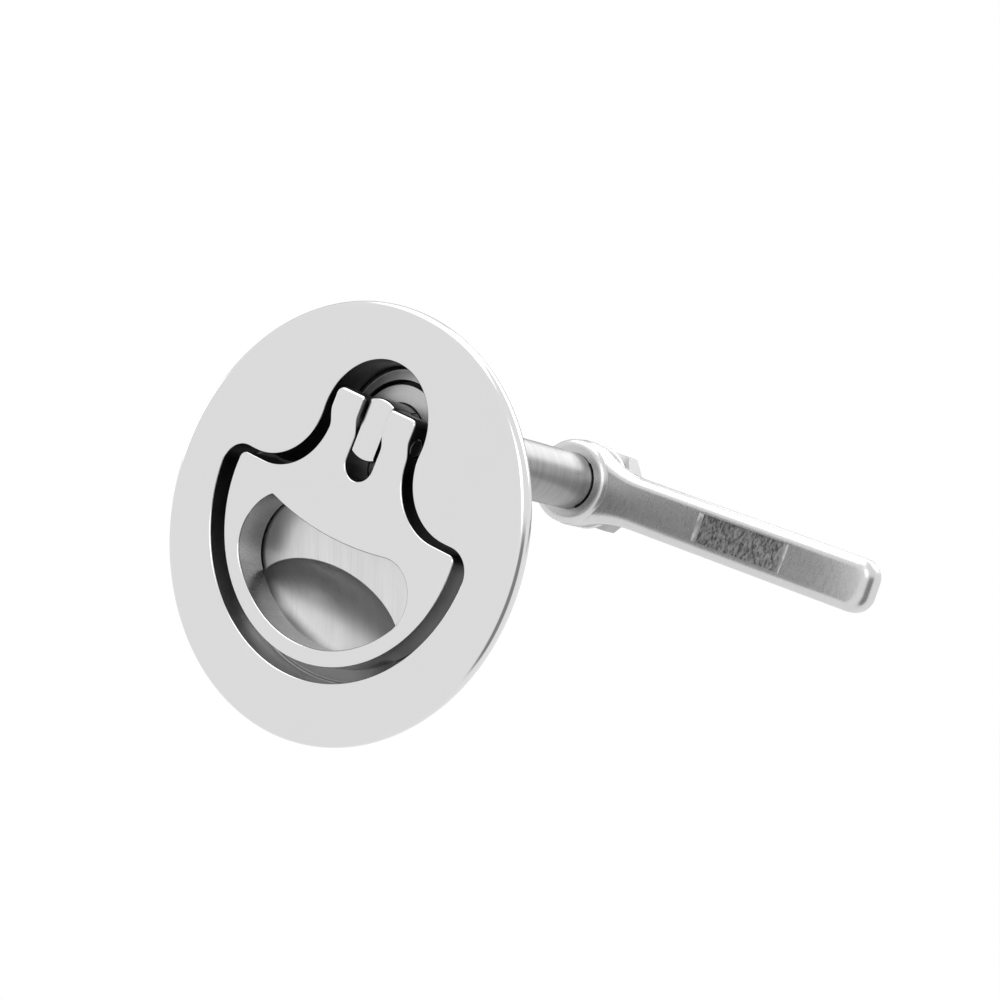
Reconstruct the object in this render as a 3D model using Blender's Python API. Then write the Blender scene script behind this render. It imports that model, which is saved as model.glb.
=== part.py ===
"""Round flush pull latch with a cam arm, all stainless steel.

A round flange sits flush on a hatch. A bell-shaped recess in it holds a pull handle that folds flat.
The handle is pinned to the front end of a spindle, which runs back through a barrel. The cam arm is
clamped on the rear end of the spindle, so the raised handle turns the arm behind the frame.

Frame: metres, +Z up. The flange stands in the XZ plane and faces -Y, and its rear face, which seats
on the hatch, is y = 0. The origin is the centre of that face. The spindle runs along +Y.
"""
import math

import bmesh
import bpy
from mathutils import Matrix, Vector

# Fits: the gap that two touching pieces keep, and the coarseness of the curves
FIT = 0.0003
CHORD_ERROR = 0.00003
MIN_ARC_STEPS = 3
ROUND_STEPS = 2
FEWEST_SIDES = 24
SEAL_SIDES = 8
SWEPT_STEPS = 48
SAME_PLACE = 0.000001
SMOOTH_ANGLE = math.radians(35)

# Flange and the casting behind it
FLANGE_RADIUS = 0.038
FLANGE_THICKNESS = 0.003
FLANGE_EDGE_ROUND = 0.0012
PAN_WALL = 0.002
PAN_REAR_ROUND = 0.0010

# Mouth of the recess: a bowl below, square shoulders, hollow flanks and a round head
BOWL_RADIUS = 0.0285
BOWL_Z = 0.0013
BOWL_CORNER_RADIUS = 0.0044
SHOULDER_Z = 0.0049
SHOULDER_LAND = 0.0003
FLANK_RADIUS = 0.011
HEAD_RADIUS = 0.0112
HEAD_Z = 0.0175
MOUTH_ROUND = 0.0004

# Pull handle, set inside the mouth by named gaps
BOWL_GAP = 0.0031
BOWL_DROP = 0.0005
SHOULDER_GAP = 0.0011
NECK_GAP = 0.0022
HANDLE_SUNK = 0.0003
HANDLE_THICKNESS = 0.0065
HANDLE_EDGE_ROUND = 0.0004
HANDLE_CORNER_RADIUS = 0.0014
HANDLE_RIM = 0.0029
HOLE_CORNER_RADIUS = 0.0066
HOLE_TOP_Z = -0.0029
HOLE_TOP_RADIUS = 0.062

# Ears of the handle, which straddle the tongue of the spindle
EAR_RADIUS = 0.0048
EAR_RISE = 0.0013
EAR_RAMP_LOW = 0.0028
EAR_RAMP_HIGH = 0.0010
EAR_CORNER_RADIUS = 0.0015
EAR_RAMP_STEPS = 4
EAR_TOP_ANGLES = (0, 25, 43, 54, 62, 70, 78, 84)
SLOT_CORNER_RADIUS = 0.0008
SLOT_DEPTH = 0.0092
SLOT_GAP = 0.00055
PIN_RADIUS = 0.0015
PIN_SUNK = 0.0002
PIN_CHAMFER = 0.0002

# Finger well in the floor of the recess
WELL_SIDE_LAND = 0.0114
WELL_LOW_LAND = 0.0003
WELL_HALF_HEIGHT = 0.0093
WELL_DEPTH = 0.0070
WELL_WALL = 0.0018
WELL_ROWS = 8
WELL_SIDES = 48

# Spindle
SPINDLE_Z = 0.0168
SPINDLE_RADIUS = 0.0055
SPINDLE_END_ROUND = 0.0006
TONGUE_WIDTH = 0.0049
SEAT_FLATS = 0.0084
STUD_RADIUS = 0.0049
STUD_CHAMFER = 0.0006
STUD_PROUD = 0.0010

# Barrel and the flanged bush pressed into its front
BARREL_RADIUS = 0.0095
BARREL_LENGTH = 0.0140
BARREL_ROOT_FILLET = 0.0025
BARREL_ROOT_SUNK = 0.0001
BARREL_EDGE_CHAMFER = 0.0005
BUSH_FLANGE_RADIUS = 0.0090
BUSH_FLANGE_THICKNESS = 0.0011
BUSH_FLANGE_GAP = 0.0005
BUSH_SLEEVE_WALL = 0.0015
BUSH_LENGTH = 0.0070
SEAL_SECTION_RADIUS = 0.00065
SEAL_GROOVE_DEPTH = 0.0016

# Pieces that hold the spindle in the barrel
WAVE_WASHER_RADIUS = 0.0080
WAVE_WASHER_THICKNESS = 0.0005
WAVE_HEIGHT = 0.0006
WAVE_COUNT = 3
BARREL_WASHER_RADIUS = 0.0082
BARREL_WASHER_THICKNESS = 0.0010
RETAINER_THICKNESS = 0.0010
RETAINER_WIDTH = 0.0022
RETAINER_GROOVE_DEPTH = 0.0008
RETAINER_GAP_ANGLE = math.radians(50)
RETAINER_LUG_RADIUS = 0.0013
RETAINER_LUG_HOLE_RADIUS = 0.0005

# Fixing posts behind the flange, drilled for screws from the rear
POST_RADIUS = 0.0032
POST_HEIGHT = 0.0050
POST_BORE_RADIUS = 0.00165
POST_BORE_BOTTOM = 0.0008
POST_CHAMFER = 0.0004
UPPER_POST_INSET = 0.0083
UPPER_POST_ANGLE = math.radians(46.4)
LOWER_POST_INSET = 0.0040
LOWER_POST_ANGLE = math.radians(-69.3)

# Cam arm
ARM_FRONT_Y = 0.0610
ARM_THICKNESS = 0.0058
ARM_LENGTH = 0.0660
ARM_WIDTH = 0.0100
ARM_EDGE_ROUND = 0.0021
ARM_TIP_RADIUS = 0.0036
ARM_TILT = math.radians(4.0)
HUB_RADIUS = 0.0084
HUB_PROUD = 0.0012
HUB_BOSS_INSET = 0.0002
HUB_BOSS_ROUND = 0.0014
NECK_RADIUS = 0.025
POCKET_START = 0.0290
POCKET_END = 0.0485
POCKET_DEPTH = 0.0007
POCKET_END_SLOPE = 0.0007
POCKET_SIDE_LAND = 0.00015

# Washers and nut that clamp the arm
ARM_WASHER_RADIUS = 0.0084
ARM_WASHER_THICKNESS = 0.0012
LOCK_WASHER_RADIUS = 0.0076
LOCK_WASHER_THICKNESS = 0.0014
LOCK_WASHER_RISE = 0.0003
LOCK_WASHER_GAP_ANGLE = math.radians(14)
NUT_FLATS = 0.0152
NUT_THICKNESS = 0.0050
NUT_CHAMFER_ANGLE = math.radians(30)
NUT_TURN = math.radians(5)

# Places that follow from the sizes above
FRONT_Y = -FLANGE_THICKNESS
HANDLE_FRONT_Y = FRONT_Y + HANDLE_SUNK
HANDLE_BACK_Y = HANDLE_FRONT_Y + HANDLE_THICKNESS
FLOOR_Y = HANDLE_BACK_Y + FIT
PAN_REAR_Y = FLOOR_Y + PAN_WALL
PIN_Y = HANDLE_BACK_Y - EAR_RADIUS
EAR_TOP_Z = SPINDLE_Z + EAR_RADIUS
EAR_SWING_RADIUS = EAR_RADIUS + FIT / 2
WELL_HALF_WIDTH = BOWL_RADIUS - WELL_SIDE_LAND
WELL_Z = BOWL_Z - BOWL_RADIUS + WELL_LOW_LAND + WELL_HALF_HEIGHT
SLOT_HALF_WIDTH = TONGUE_WIDTH / 2 + SLOT_GAP
NECK_HALF_WIDTH = HEAD_RADIUS - NECK_GAP
BARREL_END_Y = PAN_REAR_Y + BARREL_LENGTH
SPINDLE_BORE_RADIUS = SPINDLE_RADIUS + FIT
SLEEVE_RADIUS = SPINDLE_BORE_RADIUS + BUSH_SLEEVE_WALL
SLEEVE_END_Y = FLOOR_Y + BUSH_LENGTH
SEAL_Y = (SLEEVE_END_Y + FIT + BARREL_END_Y) / 2
WAVE_Y = BARREL_END_Y + FIT + WAVE_HEIGHT / 2
BARREL_WASHER_Y = WAVE_Y + WAVE_HEIGHT / 2 + WAVE_WASHER_THICKNESS + FIT
RETAINER_Y = BARREL_WASHER_Y + BARREL_WASHER_THICKNESS + FIT
HUB_FRONT_Y = ARM_FRONT_Y - HUB_PROUD
SHOULDER_Y = HUB_FRONT_Y - FIT
ARM_REAR_Y = ARM_FRONT_Y + ARM_THICKNESS
SEAT_END_Y = ARM_REAR_Y - FIT
ARM_WASHER_Y = ARM_REAR_Y + FIT
LOCK_WASHER_Y = ARM_WASHER_Y + ARM_WASHER_THICKNESS + FIT
NUT_Y = LOCK_WASHER_Y + LOCK_WASHER_THICKNESS + LOCK_WASHER_RISE + FIT
STUD_END_Y = NUT_Y + NUT_THICKNESS + STUD_PROUD
STUD_HOLE_RADIUS = STUD_RADIUS + FIT
PIN_AXIS = Vector((0.0, PIN_Y, SPINDLE_Z))
SPINDLE_AXIS = Vector((0.0, 0.0, SPINDLE_Z))
PLATE_CENTRE = Vector((0.0, 0.0, 0.0))


# Scene and materials
def clear_scene():
    """Removes what the scene holds before the model is made."""
    for old in list(bpy.data.objects):
        bpy.data.objects.remove(old, do_unlink=True)


def metal(name, grey, roughness, metallic=1.0):
    """A plain material with one grey tone."""
    material = bpy.data.materials.new(name)
    material.use_nodes = True
    shader = material.node_tree.nodes["Principled BSDF"]
    shader.inputs["Base Color"].default_value = (grey, grey, grey, 1.0)
    shader.inputs["Roughness"].default_value = roughness
    shader.inputs["Metallic"].default_value = metallic
    return material


# Flat outlines, as lists of (x, z) points that run counter-clockwise
def arc(centre, radius, start, end):
    """Points on an arc from one angle to another, in radians, both ends included."""
    step = 2 * math.acos(1 - min(CHORD_ERROR / radius, 0.5))
    count = max(MIN_ARC_STEPS, math.ceil(abs(end - start) / step))
    points = []
    for index in range(count + 1):
        angle = start + (end - start) * index / count
        points.append((centre[0] + radius * math.cos(angle), centre[1] + radius * math.sin(angle)))
    return points


def mirrored(half):
    """Closes an outline from its right half, which runs from the lower centre to the upper one."""
    return half + [(-x, z) for x, z in reversed(half[1:-1])]


def offset(outline, distance):
    """Moves an outline outwards by a distance, or inwards if it is negative."""
    moved = []
    for index, point in enumerate(outline):
        before = Vector(outline[index - 1])
        here = Vector(point)
        after = Vector(outline[(index + 1) % len(outline)])
        first = (here - before).normalized()
        second = (after - here).normalized()
        normal = (Vector((first.y, -first.x)) + Vector((second.y, -second.x))).normalized()
        stretch = max(normal.dot(Vector((first.y, -first.x))), 0.5)
        moved.append(tuple(here + normal * (distance / stretch)))
    return moved


def without_repeats(outline):
    """Drops points that lie on the point before them."""
    kept = []
    for point in outline:
        if not kept or (Vector(point) - Vector(kept[-1])).length > CHORD_ERROR / 3:
            kept.append(point)
    return kept


def bowl_corner(centre_z, radius, corner_radius, shoulder_z):
    """Centre of the arc between a bowl and its shoulder."""
    corner_z = shoulder_z - corner_radius
    corner_x = math.sqrt((radius - corner_radius) ** 2 - (corner_z - centre_z) ** 2)
    return corner_x, corner_z


def bowl_and_corner(centre_z, radius, corner_radius, shoulder_z):
    """Right side of a bowl from its lowest point, round its upper corner to the shoulder."""
    corner_x, corner_z = bowl_corner(centre_z, radius, corner_radius, shoulder_z)
    turn = math.atan2(corner_z - centre_z, corner_x)
    points = arc((0, centre_z), radius, -math.pi / 2, turn)
    return points + arc((corner_x, corner_z), corner_radius, turn, math.pi / 2)


def flank_radius():
    """Radius of the fillet between shoulder and head, limited by the length of the shoulder."""
    corner_x = bowl_corner(BOWL_Z, BOWL_RADIUS, BOWL_CORNER_RADIUS, SHOULDER_Z)[0]
    reach = corner_x - SHOULDER_LAND
    height = HEAD_Z - SHOULDER_Z
    largest = (reach ** 2 + height ** 2 - HEAD_RADIUS ** 2) / (2 * (HEAD_RADIUS + height))
    return min(FLANK_RADIUS, largest)


def recess_outline():
    """The bell-shaped mouth of the recess."""
    flank = flank_radius()
    flank_z = SHOULDER_Z + flank
    flank_x = math.sqrt((HEAD_RADIUS + flank) ** 2 - (HEAD_Z - flank_z) ** 2)
    turn = math.atan2(HEAD_Z - flank_z, flank_x)
    half = bowl_and_corner(BOWL_Z, BOWL_RADIUS, BOWL_CORNER_RADIUS, SHOULDER_Z)
    half += arc((flank_x, flank_z), flank, -math.pi / 2, -math.pi - turn)
    half += arc((0, HEAD_Z), HEAD_RADIUS, -turn, math.pi / 2)
    return without_repeats(mirrored(half))


def handle_outline():
    """The handle from the front, with the slot between its ears open at the top."""
    shoulder_z = SHOULDER_Z - SHOULDER_GAP
    flank = flank_radius()
    flank_centre = (NECK_HALF_WIDTH + flank, shoulder_z + flank)
    ear_centre = (NECK_HALF_WIDTH - EAR_CORNER_RADIUS, EAR_TOP_Z - EAR_CORNER_RADIUS)
    slot_corner = (SLOT_HALF_WIDTH + SLOT_CORNER_RADIUS, EAR_TOP_Z - SLOT_CORNER_RADIUS)
    slot_centre = (0, SPINDLE_Z - SLOT_DEPTH + SLOT_HALF_WIDTH)
    half = bowl_and_corner(BOWL_Z - BOWL_DROP, BOWL_RADIUS - BOWL_GAP, HANDLE_CORNER_RADIUS, shoulder_z)
    half += arc(flank_centre, flank, -math.pi / 2, -math.pi)
    half += arc(ear_centre, EAR_CORNER_RADIUS, 0, math.pi / 2)
    half += arc(slot_corner, SLOT_CORNER_RADIUS, math.pi / 2, math.pi)
    half += arc(slot_centre, SLOT_HALF_WIDTH, 0, -math.pi / 2)
    return without_repeats(mirrored(half))


def finger_hole_outline():
    """The finger hole: it follows the bowl of the handle below and is hollowed above."""
    bowl_z = BOWL_Z - BOWL_DROP
    bowl_radius = BOWL_RADIUS - BOWL_GAP - HANDLE_RIM
    top_centre_z = HOLE_TOP_Z + HOLE_TOP_RADIUS
    to_bowl = bowl_radius - HOLE_CORNER_RADIUS
    to_top = HOLE_TOP_RADIUS + HOLE_CORNER_RADIUS
    between = top_centre_z - bowl_z
    above = (to_bowl ** 2 - to_top ** 2 + between ** 2) / (2 * between)
    corner_x = math.sqrt(to_bowl ** 2 - above ** 2)
    corner_z = bowl_z + above
    low_turn = math.atan2(above, corner_x)
    high_turn = math.atan2(top_centre_z - corner_z, -corner_x)
    half = arc((0, bowl_z), bowl_radius, -math.pi / 2, low_turn)
    half += arc((corner_x, corner_z), HOLE_CORNER_RADIUS, low_turn, high_turn)
    half += arc((0, top_centre_z), HOLE_TOP_RADIUS, high_turn - math.pi, -math.pi / 2)
    return without_repeats(mirrored(half))


def arm_outline():
    """The cam arm about its spindle axis, with the bar along +X before it is tilted."""
    half_width = ARM_WIDTH / 2
    neck_x = math.sqrt((HUB_RADIUS + NECK_RADIUS) ** 2 - (half_width + NECK_RADIUS) ** 2)
    turn = math.atan2(half_width + NECK_RADIUS, neck_x)
    tip = (ARM_LENGTH - ARM_TIP_RADIUS, half_width - ARM_TIP_RADIUS)
    upper = [(ARM_LENGTH, 0)] + arc(tip, ARM_TIP_RADIUS, 0, math.pi / 2)
    upper += arc((neck_x, half_width + NECK_RADIUS), NECK_RADIUS, -math.pi / 2, turn - math.pi)
    upper += arc((0, 0), HUB_RADIUS, turn, math.pi)
    lower = [(x, -z) for x, z in reversed(upper[1:-1])]
    return without_repeats(upper + lower)


def half_flat_outline(radius, half_flats):
    """A round section with two flats, above and below."""
    turn = math.asin(half_flats / radius)
    right = arc((0, 0), radius, -turn, turn)
    return right + [(-x, -z) for x, z in right]


# Solids
def finish_object(name, mesh, material, origin):
    """Makes an object of a mesh built in the part's frame, with its origin at the given point."""
    bmesh.ops.translate(mesh, verts=mesh.verts, vec=-origin)
    bmesh.ops.recalc_face_normals(mesh, faces=mesh.faces)
    data = bpy.data.meshes.new(name)
    mesh.to_mesh(data)
    mesh.free()
    data.shade_smooth()
    data.set_sharp_from_angle(angle=SMOOTH_ANGLE)
    result = bpy.data.objects.new(name, data)
    result.location = origin
    if material:
        data.materials.append(material)
    bpy.context.scene.collection.objects.link(result)
    return result


def ring_of(mesh, outline, y):
    """A closed ring of vertices on one level, with the edges between them."""
    verts = [mesh.verts.new((x, y, z)) for x, z in outline]
    for first, second in zip(verts, verts[1:] + verts[:1]):
        mesh.edges.new((first, second))
    return verts


def wall_between(mesh, ring, next_ring):
    """Joins two rings of the same count with faces."""
    for index in range(len(ring)):
        after = (index + 1) % len(ring)
        mesh.faces.new((ring[index], ring[after], next_ring[after], next_ring[index]))


def ring_edges(mesh, ring):
    """The edges along a ring."""
    pairs = zip(ring, ring[1:] + ring[:1])
    return [mesh.edges.get(pair) for pair in pairs]


def slab(outline, front_y, back_y, front_round, back_round, holes=()):
    """A plate of one outline, with its front and back edges rounded, and holes through it."""
    levels = []
    for step in range(ROUND_STEPS + 1 if front_round else 1):
        turn = math.pi / 2 * step / ROUND_STEPS
        levels.append((front_round * (1 - math.sin(turn)), front_y + front_round * (1 - math.cos(turn))))
    for step in range(ROUND_STEPS + 1 if back_round else 1):
        turn = math.pi / 2 * (1 - step / ROUND_STEPS)
        levels.append((back_round * (1 - math.sin(turn)), back_y - back_round * (1 - math.cos(turn))))
    mesh = bmesh.new()
    fronts = []
    backs = []
    for shape, sign in [(outline, -1)] + [(hole, 1) for hole in holes]:
        rings = [ring_of(mesh, offset(shape, sign * inset), y) for inset, y in levels]
        for ring, next_ring in zip(rings, rings[1:]):
            wall_between(mesh, ring, next_ring)
        fronts += ring_edges(mesh, rings[0])
        backs += ring_edges(mesh, rings[-1])
    for cap in (fronts, backs):
        bmesh.ops.triangle_fill(mesh, edges=cap, use_beauty=True)
    bmesh.ops.recalc_face_normals(mesh, faces=mesh.faces)
    return mesh


def turned(profile, centre, closed=False):
    """A turned solid: a profile of (radius, y) points, spun about an axis along Y."""
    mesh = bmesh.new()
    verts = [mesh.verts.new((radius, y, 0)) for radius, y in profile]
    pairs = list(zip(verts, verts[1:]))
    if closed:
        pairs.append((verts[-1], verts[0]))
    edges = [mesh.edges.new(pair) for pair in pairs]
    widest = max(radius for radius, y in profile)
    steps = max(FEWEST_SIDES, math.ceil(math.pi / math.acos(1 - CHORD_ERROR / widest)))
    bmesh.ops.spin(mesh, geom=verts + edges, cent=(0, 0, 0), axis=(0, 1, 0), angle=2 * math.pi,
                   steps=steps, use_merge=True)
    bmesh.ops.remove_doubles(mesh, verts=mesh.verts, dist=SAME_PLACE)
    mesh.normal_update()
    flat_ends = []
    for vert in mesh.verts:
        on_axis = math.hypot(vert.co.x, vert.co.z) < SAME_PLACE
        if on_axis and all(abs(face.normal.y) > 1 - SAME_PLACE for face in vert.link_faces):
            flat_ends.append(vert)
    bmesh.ops.dissolve_verts(mesh, verts=flat_ends)
    bmesh.ops.translate(mesh, verts=mesh.verts, vec=centre)
    bmesh.ops.recalc_face_normals(mesh, faces=mesh.faces)
    return mesh


def bowl(half_width, half_height, depth, start_y):
    """Half of an ellipsoid behind the recess floor, with a straight wall in front of it."""
    levels = [(1, start_y)]
    for row in range(WELL_ROWS):
        turn = math.pi / 2 * row / WELL_ROWS
        levels.append((math.cos(turn), FLOOR_Y + depth * math.sin(turn)))
    mesh = bmesh.new()
    rings = []
    for scale, y in levels:
        outline = []
        for index in range(WELL_SIDES):
            angle = 2 * math.pi * index / WELL_SIDES
            outline.append((half_width * scale * math.cos(angle),
                            WELL_Z + half_height * scale * math.sin(angle)))
        rings.append(ring_of(mesh, outline, y))
    for ring, next_ring in zip(rings, rings[1:]):
        wall_between(mesh, ring, next_ring)
    deepest = mesh.verts.new((0, FLOOR_Y + depth, WELL_Z))
    last = rings[-1]
    for index in range(WELL_SIDES):
        mesh.faces.new((last[index], last[(index + 1) % WELL_SIDES], deepest))
    mesh.faces.new(rings[0])
    return mesh


def box(low, high):
    """A box between two corners."""
    mesh = bmesh.new()
    bmesh.ops.create_cube(mesh, size=1)
    size = Vector(high) - Vector(low)
    middle = (Vector(high) + Vector(low)) / 2
    bmesh.ops.scale(mesh, vec=size, verts=mesh.verts)
    bmesh.ops.translate(mesh, vec=middle, verts=mesh.verts)
    return mesh


def combine(target, name, mesh, operation):
    """Cuts a mesh from an object, or joins one to it, with a Boolean that stays on the object."""
    tool = finish_object(name, mesh, None, PLATE_CENTRE)
    tool.hide_render = True
    tool.display_type = "WIRE"
    modifier = target.modifiers.new(name, "BOOLEAN")
    modifier.operation = operation
    modifier.solver = "EXACT"
    modifier.object = tool
    return tool


# Housing: flange, pan, finger well, barrel and fixing posts in one casting
def flange_profile():
    """Half section of the flange disc, from its front centre to its rear centre."""
    profile = [(0, FRONT_Y)]
    centre_y = FRONT_Y + FLANGE_EDGE_ROUND
    for step in range(ROUND_STEPS * 2 + 1):
        turn = math.pi / 2 * step / (ROUND_STEPS * 2)
        profile.append((FLANGE_RADIUS - FLANGE_EDGE_ROUND * (1 - math.sin(turn)),
                        centre_y - FLANGE_EDGE_ROUND * math.cos(turn)))
    return profile + [(FLANGE_RADIUS, 0), (0, 0)]


def barrel_profile():
    """Half section of the barrel, with a fillet that starts a little inside the pan."""
    root_y = PAN_REAR_Y - BARREL_ROOT_SUNK
    profile = [(0, FLOOR_Y), (BARREL_RADIUS + BARREL_ROOT_FILLET, FLOOR_Y)]
    for step in range(ROUND_STEPS * 2 + 1):
        turn = math.pi / 2 * step / (ROUND_STEPS * 2)
        profile.append((BARREL_RADIUS + BARREL_ROOT_FILLET * (1 - math.sin(turn)),
                        root_y + BARREL_ROOT_FILLET * (1 - math.cos(turn))))
    profile.append((BARREL_RADIUS, BARREL_END_Y - BARREL_EDGE_CHAMFER))
    profile.append((BARREL_RADIUS - BARREL_EDGE_CHAMFER, BARREL_END_Y))
    return profile + [(0, BARREL_END_Y)]


def bore_profile():
    """Half section of the bore: a counterbore for the bush flange, its sleeve, then the rear land."""
    counterbore_y = FLOOR_Y + BUSH_FLANGE_THICKNESS + FIT
    sleeve_y = SLEEVE_END_Y + FIT
    flange_radius = BUSH_FLANGE_RADIUS + BUSH_FLANGE_GAP
    sleeve_radius = SLEEVE_RADIUS + FIT
    profile = [(0, HANDLE_BACK_Y), (flange_radius, HANDLE_BACK_Y), (flange_radius, counterbore_y)]
    profile += [(sleeve_radius, counterbore_y), (sleeve_radius, sleeve_y)]
    profile += [(SPINDLE_BORE_RADIUS, sleeve_y), (SPINDLE_BORE_RADIUS, BARREL_END_Y + PAN_WALL)]
    return profile + [(0, BARREL_END_Y + PAN_WALL)]


def recess_cutter():
    """The mouth and walls of the recess, flared at the face to round the mouth's edge."""
    outline = recess_outline()
    mesh = bmesh.new()
    rings = [ring_of(mesh, offset(outline, MOUTH_ROUND), FRONT_Y - FLANGE_THICKNESS)]
    for step in range(ROUND_STEPS + 1):
        turn = math.pi / 2 * step / ROUND_STEPS
        rings.append(ring_of(mesh, offset(outline, MOUTH_ROUND * (1 - math.sin(turn))),
                             FRONT_Y + MOUTH_ROUND * (1 - math.cos(turn))))
    rings.append(ring_of(mesh, outline, FLOOR_Y))
    for ring, next_ring in zip(rings, rings[1:]):
        wall_between(mesh, ring, next_ring)
    for cap in (rings[0], rings[-1]):
        bmesh.ops.triangle_fill(mesh, edges=ring_edges(mesh, cap), use_beauty=True)
    return mesh


def fixing_posts():
    """The four posts, each with a blind hole that opens to the rear, in one mesh."""
    places = []
    for inset, angle in ((UPPER_POST_INSET, UPPER_POST_ANGLE), (LOWER_POST_INSET, LOWER_POST_ANGLE)):
        reach = FLANGE_RADIUS - inset
        for side in (-1, 1):
            places.append((side * reach * math.cos(angle), reach * math.sin(angle)))
    profile = [(0, FRONT_Y / 2), (POST_RADIUS, FRONT_Y / 2), (POST_RADIUS, POST_HEIGHT - POST_CHAMFER)]
    profile += [(POST_RADIUS - POST_CHAMFER, POST_HEIGHT), (POST_BORE_RADIUS, POST_HEIGHT)]
    profile += [(POST_BORE_RADIUS, POST_BORE_BOTTOM + POST_BORE_RADIUS / 2), (0, POST_BORE_BOTTOM)]
    posts = turned(profile, Vector((places[0][0], 0, places[0][1])))
    first = Vector(places[0])
    one_post = posts.verts[:] + posts.edges[:] + posts.faces[:]
    for place in places[1:]:
        copied = bmesh.ops.duplicate(posts, geom=one_post)["geom"]
        shift = Vector(place) - first
        moved = [item for item in copied if isinstance(item, bmesh.types.BMVert)]
        bmesh.ops.translate(posts, verts=moved, vec=(shift.x, 0, shift.y))
    return posts


def make_housing(steel):
    """The casting: everything that stays still when the latch works, in one piece."""
    housing = finish_object("housing", turned(flange_profile(), PLATE_CENTRE), steel, PLATE_CENTRE)
    pan = slab(offset(recess_outline(), PAN_WALL), FRONT_Y / 2, PAN_REAR_Y, 0, PAN_REAR_ROUND)
    combine(housing, "pan_form", pan, "UNION")
    well = bowl(WELL_HALF_WIDTH + WELL_WALL, WELL_HALF_HEIGHT + WELL_WALL, WELL_DEPTH + WELL_WALL,
                PAN_WALL)
    combine(housing, "well_form", well, "UNION")
    combine(housing, "barrel_form", turned(barrel_profile(), SPINDLE_AXIS), "UNION")
    combine(housing, "posts_form", fixing_posts(), "UNION")
    combine(housing, "recess_cut", recess_cutter(), "DIFFERENCE")
    well_cut = bowl(WELL_HALF_WIDTH, WELL_HALF_HEIGHT, WELL_DEPTH, HANDLE_BACK_Y)
    combine(housing, "well_cut", well_cut, "DIFFERENCE")
    combine(housing, "bore_cut", turned(bore_profile(), SPINDLE_AXIS), "DIFFERENCE")
    return housing


# Pull handle
def ramp_rise(z):
    """How far the face of the handle rises at a height, up a smooth ramp to the ears."""
    low = SPINDLE_Z - EAR_RAMP_LOW
    share = (z - low) / (EAR_RAMP_LOW + EAR_RAMP_HIGH)
    share = min(max(share, 0), 1)
    return EAR_RISE * share * share * (3 - 2 * share)


def back_fall(z):
    """How far the back of the ears falls away at a height, round the pin."""
    above = min(max(z - SPINDLE_Z, 0), EAR_RADIUS)
    return EAR_RADIUS - math.sqrt(EAR_RADIUS ** 2 - above ** 2)


def front_fall(y, z):
    """How far the front of the ears is cut back at their tops, so that they swing clear of the floor."""
    above = min(max(z - SPINDLE_Z, 0), EAR_RADIUS)
    reach = math.sqrt(EAR_SWING_RADIUS ** 2 - above ** 2)
    return max(PIN_Y - reach - y, 0)


def make_handle(steel):
    """The pull handle, a flat bell with a finger hole and two ears round the pin."""
    mesh = slab(handle_outline(), HANDLE_FRONT_Y, HANDLE_BACK_Y, HANDLE_EDGE_ROUND, HANDLE_EDGE_ROUND,
                holes=[finger_hole_outline()])
    low = SPINDLE_Z - EAR_RAMP_LOW
    ramp = EAR_RAMP_LOW + EAR_RAMP_HIGH
    levels = [low + ramp * step / EAR_RAMP_STEPS for step in range(EAR_RAMP_STEPS + 1)]
    levels += [SPINDLE_Z + EAR_RADIUS * math.sin(math.radians(angle)) for angle in EAR_TOP_ANGLES]
    for level in sorted(levels):
        geometry = mesh.verts[:] + mesh.edges[:] + mesh.faces[:]
        bmesh.ops.bisect_plane(mesh, geom=geometry, plane_co=(0, 0, level), plane_no=(0, 0, 1),
                               dist=SAME_PLACE)
    middle = (HANDLE_FRONT_Y + HANDLE_BACK_Y) / 2
    for vert in mesh.verts:
        if vert.co.y < middle:
            vert.co.y -= ramp_rise(vert.co.z)
            vert.co.y += front_fall(vert.co.y, vert.co.z)
        else:
            vert.co.y -= back_fall(vert.co.z)
    handle = finish_object("pull_handle", mesh, steel, PIN_AXIS)
    combine(handle, "handle_pin_hole", pin_solid(PIN_RADIUS + FIT, HEAD_RADIUS, 0), "DIFFERENCE")
    return handle


def pin_solid(radius, half_length, chamfer):
    """A pin along X through the handle's axis."""
    profile = [(0, -half_length), (radius - chamfer, -half_length)]
    if chamfer:
        profile += [(radius, -half_length + chamfer), (radius, half_length - chamfer)]
    profile += [(radius - chamfer, half_length), (0, half_length)]
    mesh = turned(profile, PLATE_CENTRE)
    bmesh.ops.rotate(mesh, verts=mesh.verts, matrix=Matrix.Rotation(math.pi / 2, 3, "Z"))
    bmesh.ops.translate(mesh, verts=mesh.verts, vec=PIN_AXIS)
    return mesh


def make_pin(steel):
    """The hinge pin, riveted in the ears a little below their outer faces."""
    pin = pin_solid(PIN_RADIUS, NECK_HALF_WIDTH - PIN_SUNK, PIN_CHAMFER)
    return finish_object("pivot_pin", pin, steel, PIN_AXIS)


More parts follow.
